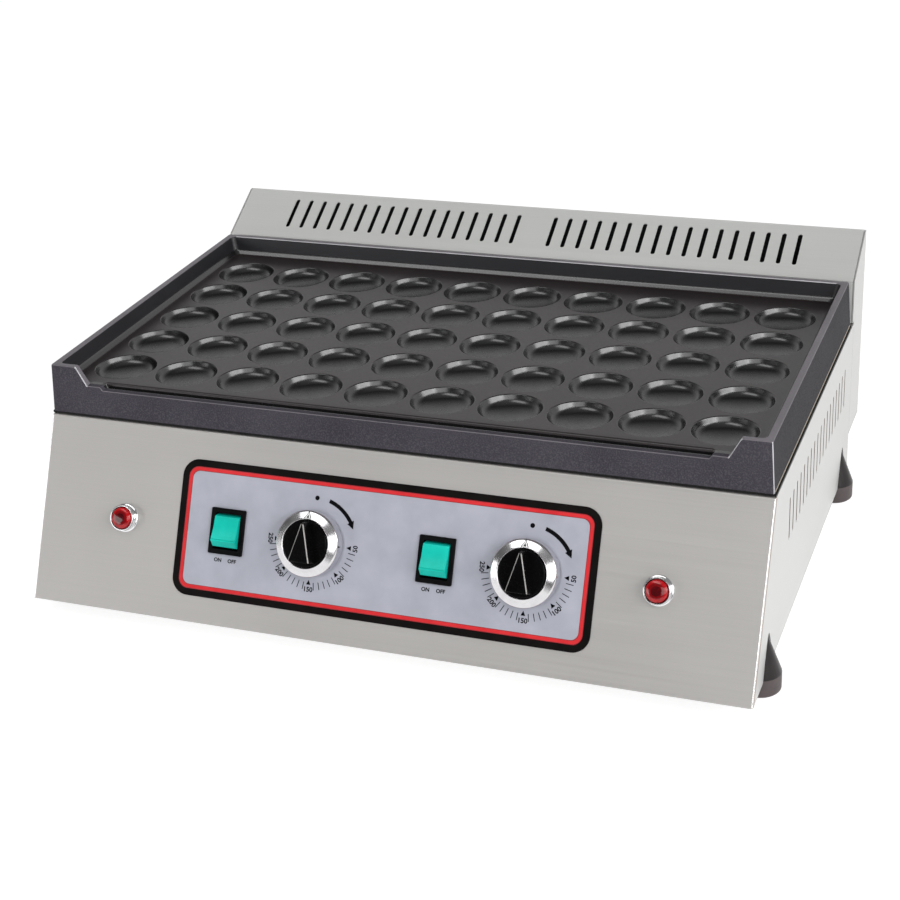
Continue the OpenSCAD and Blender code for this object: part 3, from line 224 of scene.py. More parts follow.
INK = {"grain": 1500.0, "depth": 0.00001}
M = {
    "front": steel("front_steel", (0.412, 0.398, 0.385), (0.478, 0.464, 0.448), metallic=0.4),
    "side": steel("side_steel", (0.57, 0.57, 0.56), (0.65, 0.65, 0.64), grain=(900, 3, 900)),
    "vent": steel("vent_steel", (0.65, 0.655, 0.635), (0.73, 0.735, 0.715), metallic=0.35),
    # Pale copy of the steel on the front panel's bends: painted highlight
    "bend": steel("bend_painted_highlight_steel", (0.82, 0.81, 0.79), (0.92, 0.91, 0.89),
        grain=(30, 30, 3), metallic=0.9, rough=(0.18, 0.26)),
    # Near-black copy of the steel: painted shade on faces inside the duct and the casing
    "shade": steel("duct_painted_shade_steel", grey(0.012), grey(0.020), metallic=0.2),
    "inner": steel("inner_steel", (0.40, 0.39, 0.37), (0.48, 0.47, 0.45)),
    "screw": steel("screw_steel", (0.42, 0.42, 0.40), (0.52, 0.52, 0.5), grain=(400, 400, 400)),
    "sheath": steel("element_steel", (0.07, 0.06, 0.055), (0.12, 0.10, 0.09), grain=(300, 300, 300)),
    # Pale tan metal on the plate's lower side ledge: painted reflection of the side panel
    "ledge_painted_reflection": steel("seam_painted_reflection", (0.42, 0.36, 0.29), (0.56, 0.49, 0.41), metallic=0.5),
    # Darker brownish copy of the steel on slot walls and the front panel's returns: painted shade
    "cut": steel("slot_edge_painted_shade_steel", (0.32, 0.245, 0.22), (0.40, 0.31, 0.28)),
    "cast": casting("cast_coating", (0.042, 0.038, 0.049), (0.060, 0.055, 0.068),
        grain=1100.0, depth=0.0003, rough=(0.55, 0.75), spec=0.08, specks=0.035),
    # Lighter copy of the coating on the rim tops: painted sheen
    "rim": casting("rim_painted_sheen_coating", (0.12, 0.11, 0.125), (0.175, 0.16, 0.18),
        grain=850.0, depth=0.0001, rough=(0.38, 0.55), spec=0.5),
    # Pale copy of the coating on corners, post slopes and rim edges: painted highlight
    "edge": casting("edge_painted_highlight", (0.34, 0.33, 0.35), (0.62, 0.61, 0.64),
        grain=850.0, depth=0.00005, rough=(0.3, 0.45), spec=0.5),
    # Near-black copy of the coating on the tray's inner walls: painted shade
    "wall": casting("inner_wall_painted_shade_coating", (0.006, 0.006, 0.008), (0.011, 0.011, 0.014),
        grain=700.0, depth=0.00005, rough=(0.34, 0.48), spec=0.4),
    # Darker copy of the coating on the plate's outer side walls: painted shade
    "flank": casting("side_painted_shade_coating", (0.014, 0.013, 0.016), (0.023, 0.021, 0.026),
        grain=900.0, depth=0.00012, rough=(0.5, 0.7), spec=0.10),
    "floor": casting("floor_coating", (0.013, 0.009, 0.010), (0.021, 0.015, 0.016),
        grain=700.0, depth=0.00003, rough=(0.30, 0.38), spec=0.6),
    # Near-black copy of the coating inside the cups and wall coves: painted shade
    "cup": casting("cup_painted_shade_coating", (0.004, 0.004, 0.0045), (0.008, 0.0076, 0.0085),
        grain=600.0, depth=0.00003, rough=(0.21, 0.28), spec=1.0),
    "black": moulding("black_plastic", (0.0012, 0.0012, 0.0014), (0.003, 0.003, 0.0034),
        rough=(0.2, 0.3), spec=0.06),
    # Pale copy of the black plastic on the knob bar's top edges: painted highlight
    "shine": moulding("black_edge_painted_highlight", (0.20, 0.195, 0.185), (0.36, 0.35, 0.335), rough=(0.2, 0.3)),
    "frame": moulding("switch_frame_plastic", (0.002, 0.002, 0.0024), (0.005, 0.005, 0.0055),
        rough=(0.4, 0.5), spec=0.05),
    "green": moulding("rocker_plastic", (0.003, 0.48, 0.38), (0.007, 0.60, 0.49),
        rough=(0.28, 0.38), spec=0.2),
    # Near-black rubber: the real deck gasket, and painted shade on the plate's underside at the seam
    "seal": moulding("seal_rubber_and_gap_shade", grey(0.003), grey(0.006), rough=(0.6, 0.8), spec=0.2),
    "rubber": moulding("foot_rubber", (0.060, 0.046, 0.046), (0.090, 0.070, 0.070),
        rough=(0.4, 0.55), grain=500.0, depth=0.00008),
    # Darker copy of the rubber on the feet's cones: painted shade
    "cone": moulding("foot_cone_painted_shade_rubber", (0.010, 0.008, 0.008), (0.020, 0.016, 0.016),
        rough=(0.3, 0.4), grain=500.0, depth=0.00005, spec=0.3),
    "field": moulding("overlay_grey", (0.37, 0.38, 0.44), (0.43, 0.44, 0.51), rough=(0.34, 0.44), **INK),
    "border": moulding("overlay_black", (0.004, 0.003, 0.003), (0.008, 0.006, 0.006),
        rough=(0.4, 0.5), spec=0.05, **INK),
    "red": moulding("overlay_red", (0.62, 0.026, 0.032), (0.72, 0.038, 0.044),
        rough=(0.4, 0.5), spec=0.1, **INK),
    "dark_red": moulding("overlay_dark_red", (0.26, 0.008, 0.012), (0.34, 0.012, 0.018),
        rough=(0.3, 0.4), **INK),
    "ink": moulding("black_ink", (0.002, 0.002, 0.003), (0.005, 0.005, 0.006),
        rough=(0.4, 0.5), spec=0.05, **INK),
    "white": moulding("white_ink", (0.78, 0.78, 0.77), (0.88, 0.88, 0.87), rough=(0.35, 0.5), **INK),
    "pale": moulding("pale_moulding", (0.62, 0.60, 0.52), (0.72, 0.70, 0.62), rough=(0.5, 0.65)),
    "fibre": moulding("mineral_fibre", (0.66, 0.62, 0.50), (0.80, 0.77, 0.66),
        rough=(0.85, 0.95), grain=300.0, depth=0.0006),
    "chrome": plated("bright_plating", (0.70, 0.70, 0.71), (0.84, 0.84, 0.85)),
    "satin": plated("satin_plating", (0.64, 0.63, 0.645), (0.73, 0.72, 0.735), rough=(0.13, 0.19)),
    "brass": plated("plain_brass", (0.52, 0.36, 0.13), (0.62, 0.45, 0.19), rough=(0.25, 0.4)),
    "copper": plated("plain_copper", (0.52, 0.24, 0.12), (0.64, 0.32, 0.18), rough=(0.25, 0.4)),
    "lens": lens_material("red_lens", (0.42, 0.001, 0.005), (0.66, 0.005, 0.010)),
    # Darker copies of the lens for its middle and core: painted shade
    "middle": lens_material("mid_red_lens_painted_shade", (0.20, 0.001, 0.003), (0.32, 0.002, 0.006)),
    "core": lens_material("dark_red_lens_painted_shade", (0.07, 0.0, 0.002), (0.14, 0.001, 0.004)),
}


# Building pieces

# Points of a CAD mesh this close are one (m), and faces that meet this flat are one
WELD = 2e-7
FLAT_ANGLE = math.radians(0.4)
# Ends of a turned profile this close are one (mm)
SEAM_GAP = 1e-4
# A smaller radius is a pole (mm), and points of a flat face this close meet (mm)
POLE_R = 1e-6
MEET = 1e-6
# Edges that turn more than this are broken, and bends get this width (mm)
SHARP_ANGLE = math.radians(28)
BEND_W = 1.0
BEND_STEPS = 5
# Largest share of a line that the rounding of one corner takes up
CORNER_SHARE = 0.48


def add_object(name, bm, looks, body, replaces=(), sharp=35.0, weighted=True):
    """Makes a piece of a working mesh, with smooth shading up to an angle, and lets it ride on a body."""
    bmesh.ops.recalc_face_normals(bm, faces=bm.faces)
    mesh = bpy.data.meshes.new(name)
    bm.to_mesh(mesh)
    bm.free()
    for look in looks:
        mesh.materials.append(M[look])
    for poly in mesh.polygons:
        poly.use_smooth = True
    mesh.set_sharp_from_angle(angle=math.radians(sharp))
    obj = bpy.data.objects.new(name, mesh)
    SCENE.collection.objects.link(obj)
    if weighted:
        mod = obj.modifiers.new("even_normals", "WEIGHTED_NORMAL")
        mod.keep_sharp = True
    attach(obj, body)
    if replaces:
        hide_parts(*replaces)
    return obj


def join(bm, other):
    mesh = bpy.data.meshes.new("joined")
    other.to_mesh(mesh)
    bm.from_mesh(mesh)
    other.free()
    bpy.data.meshes.remove(mesh)


def place(bm, matrix):
    bmesh.ops.transform(bm, matrix=matrix, verts=bm.verts)


def node_bmesh(node):
    """A working copy of a CAD node's mesh with its flat faces joined up."""
    bm = bmesh.new()
    bm.from_mesh(NODES[node].data)
    bmesh.ops.remove_doubles(bm, verts=bm.verts, dist=WELD)
    bmesh.ops.dissolve_limit(bm, angle_limit=FLAT_ANGLE, verts=bm.verts, edges=bm.edges)
    return bm


def round_edges(bm, edges, width, segments):
    done = bmesh.ops.bevel(
        bm, geom=edges, offset=width, segments=segments, profile=0.5, affect="EDGES", clamp_overlap=True)
    return done["faces"]


def paired_edges(bm):
    return [e for e in bm.edges if len(e.link_faces) == 2]


def soften(node, looks, width=0.22, segments=2, bends=None, choose=None):
    """A copy of a CAD node with broken edges, chosen edges bent wider and chosen faces in other looks."""
    bm = node_bmesh(node)
    if bends:
        chosen = [e for e in paired_edges(bm) if bends((e.verts[0].co + e.verts[1].co) / 2 / MM, e)]
        round_edges(bm, chosen, BEND_W * MM, BEND_STEPS)
    sharp = [e for e in paired_edges(bm) if e.calc_face_angle(0.0) > SHARP_ANGLE]
    round_edges(bm, sharp, width * MM, segments)
    if choose:
        bm.normal_update()
        for face in bm.faces:
            look = choose(face.calc_center_median() / MM, face.normal)
            face.material_index = looks.index(look)
    return add_object(node + "_skin", bm, looks, "casing", (node,))


def turned(k, steps):
    a = 2 * math.pi * k / steps
    return Vector((math.cos(a), math.sin(a), 0))


def profile_rings(bm, profile, steps, x=0.0, y=0.0, z=0.0):
    """Rings of points for (radius, height) points turned about an upright axis; radius zero is a pole."""
    rings = []
    for r, h in profile:
        middle = Vector((x, y, z + h))
        count = steps if r > POLE_R else 1
        rings.append([bm.verts.new(middle + turned(i, steps) * r) for i in range(count)])
    return rings


def revolve(bm, profile, steps):
    """Turns (radius, height) points about Z."""
    rings = profile_rings(bm, profile, steps)
    for a, b in zip(rings, rings[1:]):
        for i in range(steps):
            j = (i + 1) % steps
            if len(a) == 1:
                corners = (a[0], b[i], b[j])
            elif len(b) == 1:
                corners = (a[i], b[0], a[j])
            else:
                corners = (a[i], b[i], b[j], a[j])
            bm.faces.new(corners)


def strip(bm, a, b, mat):
    """Faces between two closed loops with the same count of points."""
    n = len(a)
    for i in range(n):
        bm.faces.new((a[i], a[(i + 1) % n], b[(i + 1) % n], b[i])).material_index = mat


def rounded(points, radii, steps):
    """Rounds the inner corners of an open line of points, with the same count for any shape."""
    points = [Vector(p) for p in points]
    out = [tuple(points[0])]
    for i in range(1, len(points) - 1):
        p, a, b = points[i], points[i - 1], points[i + 1]
        u, v = a - p, b - p
        reach = min(radii[i], u.length * CORNER_SHARE, v.length * CORNER_SHARE)
        s, e = p + u.normalized() * reach, p + v.normalized() * reach
        for k in range(steps + 1):
            t = k / steps
            out.append(tuple(s * (1 - t) ** 2 + p * 2 * t * (1 - t) + e * t * t))
    out.append(tuple(points[-1]))
    return out


def prism(bm, outline, low, high, mat=0):
    """A closed prism over a flat outline in X and Y; gives back its two ends."""
    base = [bm.verts.new((x, y, low)) for x, y in outline]
    top = [bm.verts.new((x, y, high)) for x, y in outline]
    ends = [bm.faces.new(top), bm.faces.new(base[::-1])]
    for face in ends:
        face.material_index = mat
    strip(bm, base, top, mat)
    return ends


def inside(point, outline):
    """Whether a point lies in a closed outline, by counting the sides that a ray from it crosses."""
    hit = False
    for a, b in zip(outline, outline[1:] + outline[:1]):
        crosses = (a.y > point.y) != (b.y > point.y)
        if crosses and point.x < (b.x - a.x) * (point.y - a.y) / (b.y - a.y) + a.x:
            hit = not hit
    return hit


def in_box(point, outline):
    xs, ys = [p.x for p in outline], [p.y for p in outline]
    return min(xs) < point.x < max(xs) and min(ys) < point.y < max(ys)


def holed_face(bm, edge, holes, mat):
    """A flat face with holes, as triangles between its outer edge and the edges of the holes."""
    verts, links = [], []
    for loop in [edge] + holes:
        start, n = len(verts), len(loop)
        verts += loop
        links += [(start + i, start + (i + 1) % n) for i in range(n)]
    flat = [v.co.xy for v in verts]
    points, _, tris, origins, _, _ = geometry.delaunay_2d_cdt(flat, links, [], 0, MEET)
    outline = [v.co.xy for v in edge]
    openings = [[v.co.xy for v in loop] for loop in holes]
    for tri in tris:
        middle = sum((points[i] for i in tri), Vector((0, 0))) / len(tri)
        open_here = any(in_box(middle, o) and inside(middle, o) for o in openings)
        if inside(middle, outline) and not open_here:
            bm.faces.new([verts[origins[i][0]] for i in tri]).material_index = mat


def lerp(a, b, t):
    return a + (b - a) * t


def ease(t):
    """A soft start and end for a share from 0 to 1."""
    t = max(0.0, min(1.0, t))
    return t * t * (3 - 2 * t)


def spaced(start, end, count):
    return [lerp(start, end, k / count) for k in range(count + 1)]


# Cooking plate

# Sizes of the plate as in the CAD source (mm)
PLATE_H = 37.2
PLATE_D = 299.0
FLOOR_H = 23.2
SIDE_DRAFT = 3.3
END_DRAFT = 1.4
RIM_W = 5.0
INNER_DRAFT = 3.0
WALL_FOOT = 3.0
POST_W = 20.0
POST_SLOPE = 9.0
SHOULDER_W = 10.0
LIP_DROP = 2.5
GROOVE_FRONT = 5.6
GROOVE_W = 4.0
GROOVE_DEPTH = 4.5
DRIP_H = 1.2
DRIP_W = 2.2
SKIRT_W = 15.0
HOLLOW_H = 7.0
POST_X = HALF_W - SIDE_DRAFT - POST_W
SHOULDER_X = POST_X - POST_SLOPE
LIP_X = SHOULDER_X - SHOULDER_W
LIP_Z = FLOOR_H - LIP_DROP
GROOVE_Z = FLOOR_H - GROOVE_DEPTH
GROOVE_BACK = GROOVE_FRONT + GROOVE_W
FLOOR_IN = SIDE_DRAFT + RIM_W + INNER_DRAFT + WALL_FOOT

# Small forms of the scene's own sections and corners (mm; POST_EASE is a share of the slope)
FLOOR_STRIP = 1.4
POST_FOOT = 2.4
POST_START = SHOULDER_X + 0.3
POST_EASE = 0.12
GROOVE_FRONT_LEAN = 0.3
GROOVE_BACK_LEAN = 0.2
LIP_MIDDLE = 3.2
LIP_FALL = 2.6
LEDGE_W = 1.1
LEDGE_Z = 0.6
LEDGE_FALL = 0.2
LEDGE_TOP = 2.2
SLIVER = 0.02
INNER_TURN = 4.0
OUTER_TURN = 1.5

# Radii of the sections' corners, from the floor over the rim and down to the hollow (mm)
FOOT_RADII = [1.0, 0.9, 0.2, 0.1, 0.2, 0.5, 0.3, 0.3, 0.5, 0]
WALL_RADII = [0, 1.0, 1.0, 1.0, 0.5] + FOOT_RADII
POST_RADII = [0, 0.5, 0.5, 0.6, 0.5] + FOOT_RADII
LIP_RADII = [0, 2.1, 0.8, 0.5, 0.4] + FOOT_RADII
ROUND_STEPS = 4
# Points of a section after this one lie on the outside
OUTER_POINT = 5 * (ROUND_STEPS + 1) + 2

# Places of the sections round the plate (mm); the spans have a start, an end and a count of steps
FRONT_STATIONS = [0, 60, 120, 180, 215, LIP_X + 2, LIP_X + 6, SHOULDER_X, POST_X + 1.2]
FRONT_SPANS = [
    (LIP_X - 3, LIP_X, 6), (SHOULDER_X + 0.35, SHOULDER_X + 1.4, 4),
    (SHOULDER_X + 2.4, POST_X - 2, 3), (POST_X - 1.2, POST_X, 4)
]
SIDE_STATIONS = [40, 90, 140, 190, 240]
BACK_STATIONS = [180, 90, 0]
CORNER_STEPS = 6

# Cups (mm); the ball is smaller and the cove larger than in the CAD source, as the photo shows them
CUP_COLUMNS = 10
CUP_ROWS = 5
CUP_PITCH_X = 50.5
CUP_PITCH_Y = 51.5
FIRST_ROW = 40.4
CUP_R = 23.0
CUP_DEPTH = 8.0
CUP_BALL = 95.0
CUP_COVE = 6.5
CUP_LEAN = math.radians(26)
CUP_EDGE = 1.3
EDGE_SHARE = 0.9
EDGE_STEPS = 5
COVE_STEPS = 8
BALL_STEPS = 6
CUP_STEPS = 72
# Rings of a cup's edge that look like the floor
EDGE_RINGS = 3

# Looks along a section, each up to a corner counted from the floor; the seam's underside comes after the
# last and takes the seal's near-black look as painted shade in the gap
PLATE_LOOKS = ["cast", "flank", "floor", "cup", "wall", "rim", "edge", "seal", "ledge_painted_reflection"]
INSIDE_LOOKS = [(0.7, "floor"), (2.5, "cup"), (4.1, "wall")]
SECTION_LOOKS = {
    "lip": [(0.7, "floor"), (2.9, "cup"), (5.1, "cast"), (5.5, "rim"), (7.3, "cast")],
    "side": INSIDE_LOOKS + [(5.5, "rim"), (6.3, "flank"), (7.3, "ledge_painted_reflection")],
    "back": INSIDE_LOOKS + [(4.5, "edge"), (5.5, "rim"), (7.3, "cast")],
    "post_end": INSIDE_LOOKS + [(4.9, "rim"), (5.7, "edge"), (7.3, "cast")],
    "corner": INSIDE_LOOKS + [(4.9, "rim"), (7.3, "edge")],
    "post": INSIDE_LOOKS + [(5.5, "rim"), (7.3, "cast")],
}
# Least lean both ways of a face on a post's corner
CORNER_LEAN = 0.4


def cup_profile():
    """(radius, height) points of a cup: eased edge, straight wall, cove and ball-shaped bottom."""
    ball_z = CUP_BALL - CUP_DEPTH
    sin, cos = math.sin(CUP_LEAN), math.cos(CUP_LEAN)
    cx = CUP_R - CUP_COVE * cos
    cz = CUP_COVE * sin - ball_z
    b = cx * sin + cz * cos
    run = b + math.sqrt(b * b - (cx * cx + cz * cz - (CUP_BALL - CUP_COVE) ** 2))
    wall = Vector((CUP_R - run * sin, -run * cos))
    cove = wall + CUP_COVE * Vector((-cos, sin))
    middle = Vector((0, ball_z))
    ball = middle + (cove - middle) * CUP_BALL / (CUP_BALL - CUP_COVE)
    edge = [Vector((CUP_R + CUP_EDGE, 0)), Vector((CUP_R, 0)), Vector((CUP_R, 0)).lerp(wall, 0.5)]
    points = rounded(edge, [0, CUP_EDGE * EDGE_SHARE, 0], EDGE_STEPS) + [tuple(wall)]
    start, end = math.atan2(*(wall - cove).yx), math.atan2(*(ball - cove).yx)
    for a in spaced(start, end, COVE_STEPS)[1:]:
        points.append((cove.x + CUP_COVE * math.cos(a), cove.y + CUP_COVE * math.sin(a)))
    for k in range(1, BALL_STEPS + 1):
        r = ball.x * (1 - k / BALL_STEPS)
        points.append((r, ball_z - math.sqrt(CUP_BALL ** 2 - r * r)))
    return points


def underside(drip, ledge=0.0):
    """Outer foot with its ledge, drip edge, skirt and hollow of a plate section, as (inset, height)."""
    low = -DRIP_H if drip else 0.0
    foot = [(ledge, LEDGE_TOP), (ledge, LEDGE_Z), (0, LEDGE_Z - LEDGE_FALL), (SLIVER, low), (DRIP_W, low)]
    return foot + [(DRIP_W + SLIVER, 0), (SKIRT_W, 0), (SKIRT_W, HOLLOW_H)]


def wall_section(draft, drip):
    """Section through a side wall or the back wall, from the floor over the rim."""
    rim = draft + RIM_W
    foot = rim + INNER_DRAFT
    foot_z = FLOOR_H + WALL_FOOT
    points = [
        (foot + WALL_FOOT + FLOOR_STRIP, FLOOR_H), (foot + WALL_FOOT, FLOOR_H),
        (foot + WALL_FOOT / 2, FLOOR_H + WALL_FOOT / 2), (foot, foot_z),
        (rim + INNER_DRAFT / 2, (foot_z + PLATE_H) / 2), (rim, PLATE_H), (draft, PLATE_H)
    ]
    return rounded(points + underside(drip, LEDGE_W if drip else 0.0), WALL_RADII, ROUND_STEPS)


def post_section(rim):
    """Section through a corner post that is cut off at a height."""
    inner = END_DRAFT + RIM_W
    points = [
        (FLOOR_IN + FLOOR_STRIP, FLOOR_H), (inner + POST_FOOT, FLOOR_H), (inner + POST_FOOT / 2, FLOOR_H),
        (inner, FLOOR_H), (inner, lerp(FLOOR_H, rim, 0.5)), (inner, rim), (END_DRAFT * rim / PLATE_H, rim)
    ]
    return rounded(points + underside(True), POST_RADII, ROUND_STEPS)


def lip_section(t):
    """Section through the open front: a flat shoulder (0) that falls to the groove and the lip (1)."""
    lip, groove = lerp(FLOOR_H, LIP_Z, t), lerp(FLOOR_H, GROOVE_Z, t)
    points = [
        (FLOOR_IN + FLOOR_STRIP, FLOOR_H), (GROOVE_BACK, FLOOR_H),
        (GROOVE_BACK - GROOVE_BACK_LEAN, groove), (GROOVE_FRONT + GROOVE_FRONT_LEAN, groove),
        (GROOVE_FRONT, lip), (LIP_MIDDLE, lip), (END_DRAFT * lip / PLATE_H, lip)
    ]
    return rounded(points + underside(True), LIP_RADII, ROUND_STEPS)


def post_height(x):
    """Rim height on a post's sloping end, eased at its two corners."""
    t = (x - SHOULDER_X) / (POST_X - SHOULDER_X)
    if t < POST_EASE:
        rise = t * t / (2 * POST_EASE)
    elif t > 1 - POST_EASE:
        rise = 1 - POST_EASE - (1 - t) ** 2 / (2 * POST_EASE)
    else:
        rise = t - POST_EASE / 2
    return lerp(FLOOR_H, PLATE_H, rise / (1 - POST_EASE))


def front_section(x):
    if x >= POST_X:
        return post_section(PLATE_H)
    if x > POST_START:
        return post_section(post_height(x))
    return lip_section(ease((LIP_X - x) / LIP_FALL))


def corner_ring(side, end, t, rear):
    """One ring of points round a plate corner; the inner edges turn on a larger radius."""
    ring = []
    for k, ((dx, z_side), (dy, z_end)) in enumerate(zip(side, end)):
        r = OUTER_TURN if k > OUTER_POINT else INNER_TURN
        a = (t if rear else t - 1) * math.pi / 2
        y = PLATE_D - dy - r + r * math.sin(a) if rear else dy + r + r * math.sin(a)
        z = lerp(z_side, z_end, ease(t)) if rear else lerp(z_end, z_side, ease(t))
        ring.append((HALF_W - dx - r + r * math.cos(a), y, z))
    return ring


def plate_rings():
    """Closed rings of points round the plate, anticlockwise from above, from the middle of the front."""
    xs = sorted(FRONT_STATIONS + [x for span in FRONT_SPANS for x in spaced(*span)])
    turns = spaced(0, 1, CORNER_STEPS)
    side, back = wall_section(SIDE_DRAFT, True), wall_section(END_DRAFT, False)
    right = [[(x, i, z) for i, z in front_section(x)] for x in xs]
    right += [corner_ring(side, post_section(PLATE_H), t, False) for t in turns]
    right += [[(HALF_W - i, y, z) for i, z in side] for y in SIDE_STATIONS]
    right += [corner_ring(side, back, t, True) for t in turns]
    right += [[(x, PLATE_D - i, z) for i, z in back] for x in BACK_STATIONS]
    left = [[(-x, y, z) for x, y, z in ring] for ring in reversed(right[1:-1])]
    return right + left


def cup_faces(bm, cx, cy):
    """Skin of one cup; gives back its edge, where the floor joins on."""
    rings = profile_rings(bm, cup_profile(), CUP_STEPS, cx, cy, FLOOR_H)
    for depth, (a, b) in enumerate(zip(rings, rings[1:])):
        look = "floor" if depth < EDGE_RINGS else "cup"
        for i in range(CUP_STEPS):
            j = (i + 1) % CUP_STEPS
            corners = (a[i], a[j], b[0]) if len(b) == 1 else (a[i], a[j], b[j], b[i])
            bm.faces.new(corners).material_index = PLATE_LOOKS.index(look)
    return rings[0]


def stretch(face):
    """Which stretch of the plate's edge a face belongs to."""
    middle, lean = face.calc_center_median(), face.normal
    across = abs(middle.x)
    if middle.y > PLATE_D - FLOOR_IN and across < HALF_W - FLOOR_IN:
        return "back"
    if middle.y > FLOOR_IN:
        return "side"
    if across < SHOULDER_X:
        return "lip"
    if across < POST_X:
        return "post_end"
    return "corner" if min(abs(lean.x), abs(lean.y)) > CORNER_LEAN else "post"


def section_look(k, part):
    """Look of a strip of the plate's section, from the floor over the rim and down the outside."""
    corner = (k - 1) / (ROUND_STEPS + 1)
    for limit, look in SECTION_LOOKS[part]:
        if corner < limit:
            return look
    # The plate's underside at the seam: near-black as painted shade in the gap over the panels
    return "seal"


def build_plate():
    bm = bmesh.new()
    rings = [[bm.verts.new(p) for p in ring] for ring in plate_rings()]
    for a, b in zip(rings, rings[1:] + rings[:1]):
        for k in range(len(a) - 1):
            face = bm.faces.new((a[k], b[k], b[k + 1], a[k + 1]))
            face.normal_update()
            face.material_index = PLATE_LOOKS.index(section_look(k, stretch(face)))
    bm.faces.new([ring[-1] for ring in rings])
    xs = [(i - (CUP_COLUMNS - 1) / 2) * CUP_PITCH_X for i in range(CUP_COLUMNS)]
    ys = [FIRST_ROW + j * CUP_PITCH_Y for j in range(CUP_ROWS)]
    holes = [cup_faces(bm, x, y) for y in ys for x in xs]
    holed_face(bm, [ring[0] for ring in rings], holes, PLATE_LOOKS.index("floor"))
    place(bm, PLATE)
    add_object("cup_plate", bm, PLATE_LOOKS, "casing", ("cooking_plate",), sharp=50.0)


build_plate()


# Casing

# Two places this close are the same, and a longer edge runs along the panel (mm)
NEAR = 0.05
LONG_EDGE = 100.0
# Zones along the casing's sides and above the feet's bases (mm)
BEND_ZONE = HALF_W - BEND_W - 0.1
SLOT_ZONE = HALF_W - 1.3
CONE_ZONE = STAND + 0.3
# Leans that tell returns, bends, slot walls and forward faces apart
RETURN_LEAN = 0.97
BEND_LEAN = 0.05
SLOT_LEAN = 0.9
FORWARD_LEAN = 0.3


def front_bends(mid, edge):
    """Outer corners of the front panel: top and bottom bends and the two sides."""
    face = DECK_Y - (DECK_Z - mid.z) * math.tan(LEAN)
    if abs(mid.y - face) > NEAR:
        return False
    if abs(edge.verts[0].co.x - edge.verts[1].co.x) / MM > LONG_EDGE:
        return abs(mid.z - DECK_Z) < NEAR or abs(mid.z - STAND) < NEAR
    return abs(abs(mid.x) - HALF_W) < NEAR


def front_look(middle, lean):
    """Pale steel on the side bends as a painted highlight, darker brownish steel on the returns behind
    them as painted shade, and plain elsewhere.
    """
    if abs(middle.x) < BEND_ZONE:
        return "front"
    if abs(lean.x) > RETURN_LEAN:
        return "cut"
    return "bend" if abs(lean.x) > BEND_LEAN else "front"


def side_look(middle, lean):
    """Darker brownish steel on the slots' walls that face the front, as painted shade."""
    return "cut" if lean.y < -SLOT_LEAN and abs(middle.x) > SLOT_ZONE else "side"


def back_look(middle, lean):
    """Near-black steel as painted shade on the faces that look forward inside the duct and the casing."""
    return "shade" if lean.y < -FORWARD_LEAN else "inner"


def foot_look(middle, lean):
    """Darker on a foot's cone than on its round base, as painted shade."""
    return "cone" if middle.z > CONE_ZONE else "rubber"


soften("front_panel", ["front", "bend", "cut"], width=0.25, bends=front_bends, choose=front_look)
soften("vent_ramp", ["vent"], width=0.25)
for name in ("left_side_panel", "right_side_panel"):
    soften(name, ["side", "cut"], choose=side_look)
for name in ("left_duct_cheek", "right_duct_cheek", "deck_frame"):
    soften(name, ["side"])
for name in ("duct_back", "back_panel", "base_plate"):
    soften(name, ["inner", "shade"], choose=back_look)
for name in ("front_left_foot", "front_right_foot", "rear_left_foot", "rear_right_foot"):
    soften(name, ["rubber", "cone"], width=0.7, segments=3, choose=foot_look)


# Control overlay and its print

# Overlay, its border and line, and its openings (mm)
OVERLAY_W = 314.0
OVERLAY_H = 98.5
OVERLAY_R = 12.5
OVERLAY_BREAK = 0.12
BORDER_W = 5.1
LINE_W = 3.2
LINE_EDGE = 0.5
FIELD_R = 5.5
SWITCH_HOLE_W = 21.8
SWITCH_HOLE_H = 27.8
SWITCH_HOLE_R = 0.3
SWITCH_HOLE_STEPS = 2
NECK_HOLE_D = 10.2
OVERLAY_LOOKS = ["border", "red", "dark_red", "field"]

# Print: distances from a knob's middle and sizes (mm), and clock angles (degrees)
INK_T = 0.05
DOT_AT = 32.2
DOT_R = 1.7
DOT_STEPS = 16
ARROW_OUTER = 33.9
ARROW_INNER = 31.1
ARROW_ANGLES = range(17, 58, 4)
ARROW_HEAD = [(29.7, 56), (35.3, 56), (32.4, 65.5)]
FIGURES = {90: "50", 135: "100", 180: "150", 225: "200", 270: "250"}
FIGURE_AT = 32.8
FIGURE_SIZE = 4.8
MARK_AT = 27.6
MARK_SIZE = 3.4
TICK_ANGLES = [90 + 7.5 * k for k in range(25)]
TICK_INNER = 27.8
TICK_OUTER = 33.2
TICK_W = 0.55
CAPTIONS = {"ON": -5.6, "OFF": 5.6}
CAPTION_Y = -21.0
CAPTION_SIZE = 3.8
BOLD = 0.14
TEXT_STEPS = 3


def rounded_loop(w, h, r, steps=8):
    """Points of a rectangle with round corners, about its middle."""
    loop = []
    for cx, cy, a0 in ((1, 1, 0), (-1, 1, 90), (-1, -1, 180), (1, -1, 270)):
        for k in range(steps + 1):
            a = math.radians(a0 + 90 * k / steps)
            loop.append((cx * (w / 2 - r) + r * math.cos(a), cy * (h / 2 - r) + r * math.sin(a)))
    return loop


def overlay_holes():
    """Outlines of the openings for the switches and for the necks of the knobs' spindles."""
    box = rounded_loop(SWITCH_HOLE_W, SWITCH_HOLE_H, SWITCH_HOLE_R, SWITCH_HOLE_STEPS)
    neck = rounded_loop(NECK_HOLE_D, NECK_HOLE_D, NECK_HOLE_D / 2)
    holes = [(x, box) for x in SWITCHES.values()] + [(x, neck) for x in KNOBS.values()]
    return [[(x + u, v - CONTROL_DOWN) for u, v in loop] for x, loop in holes]


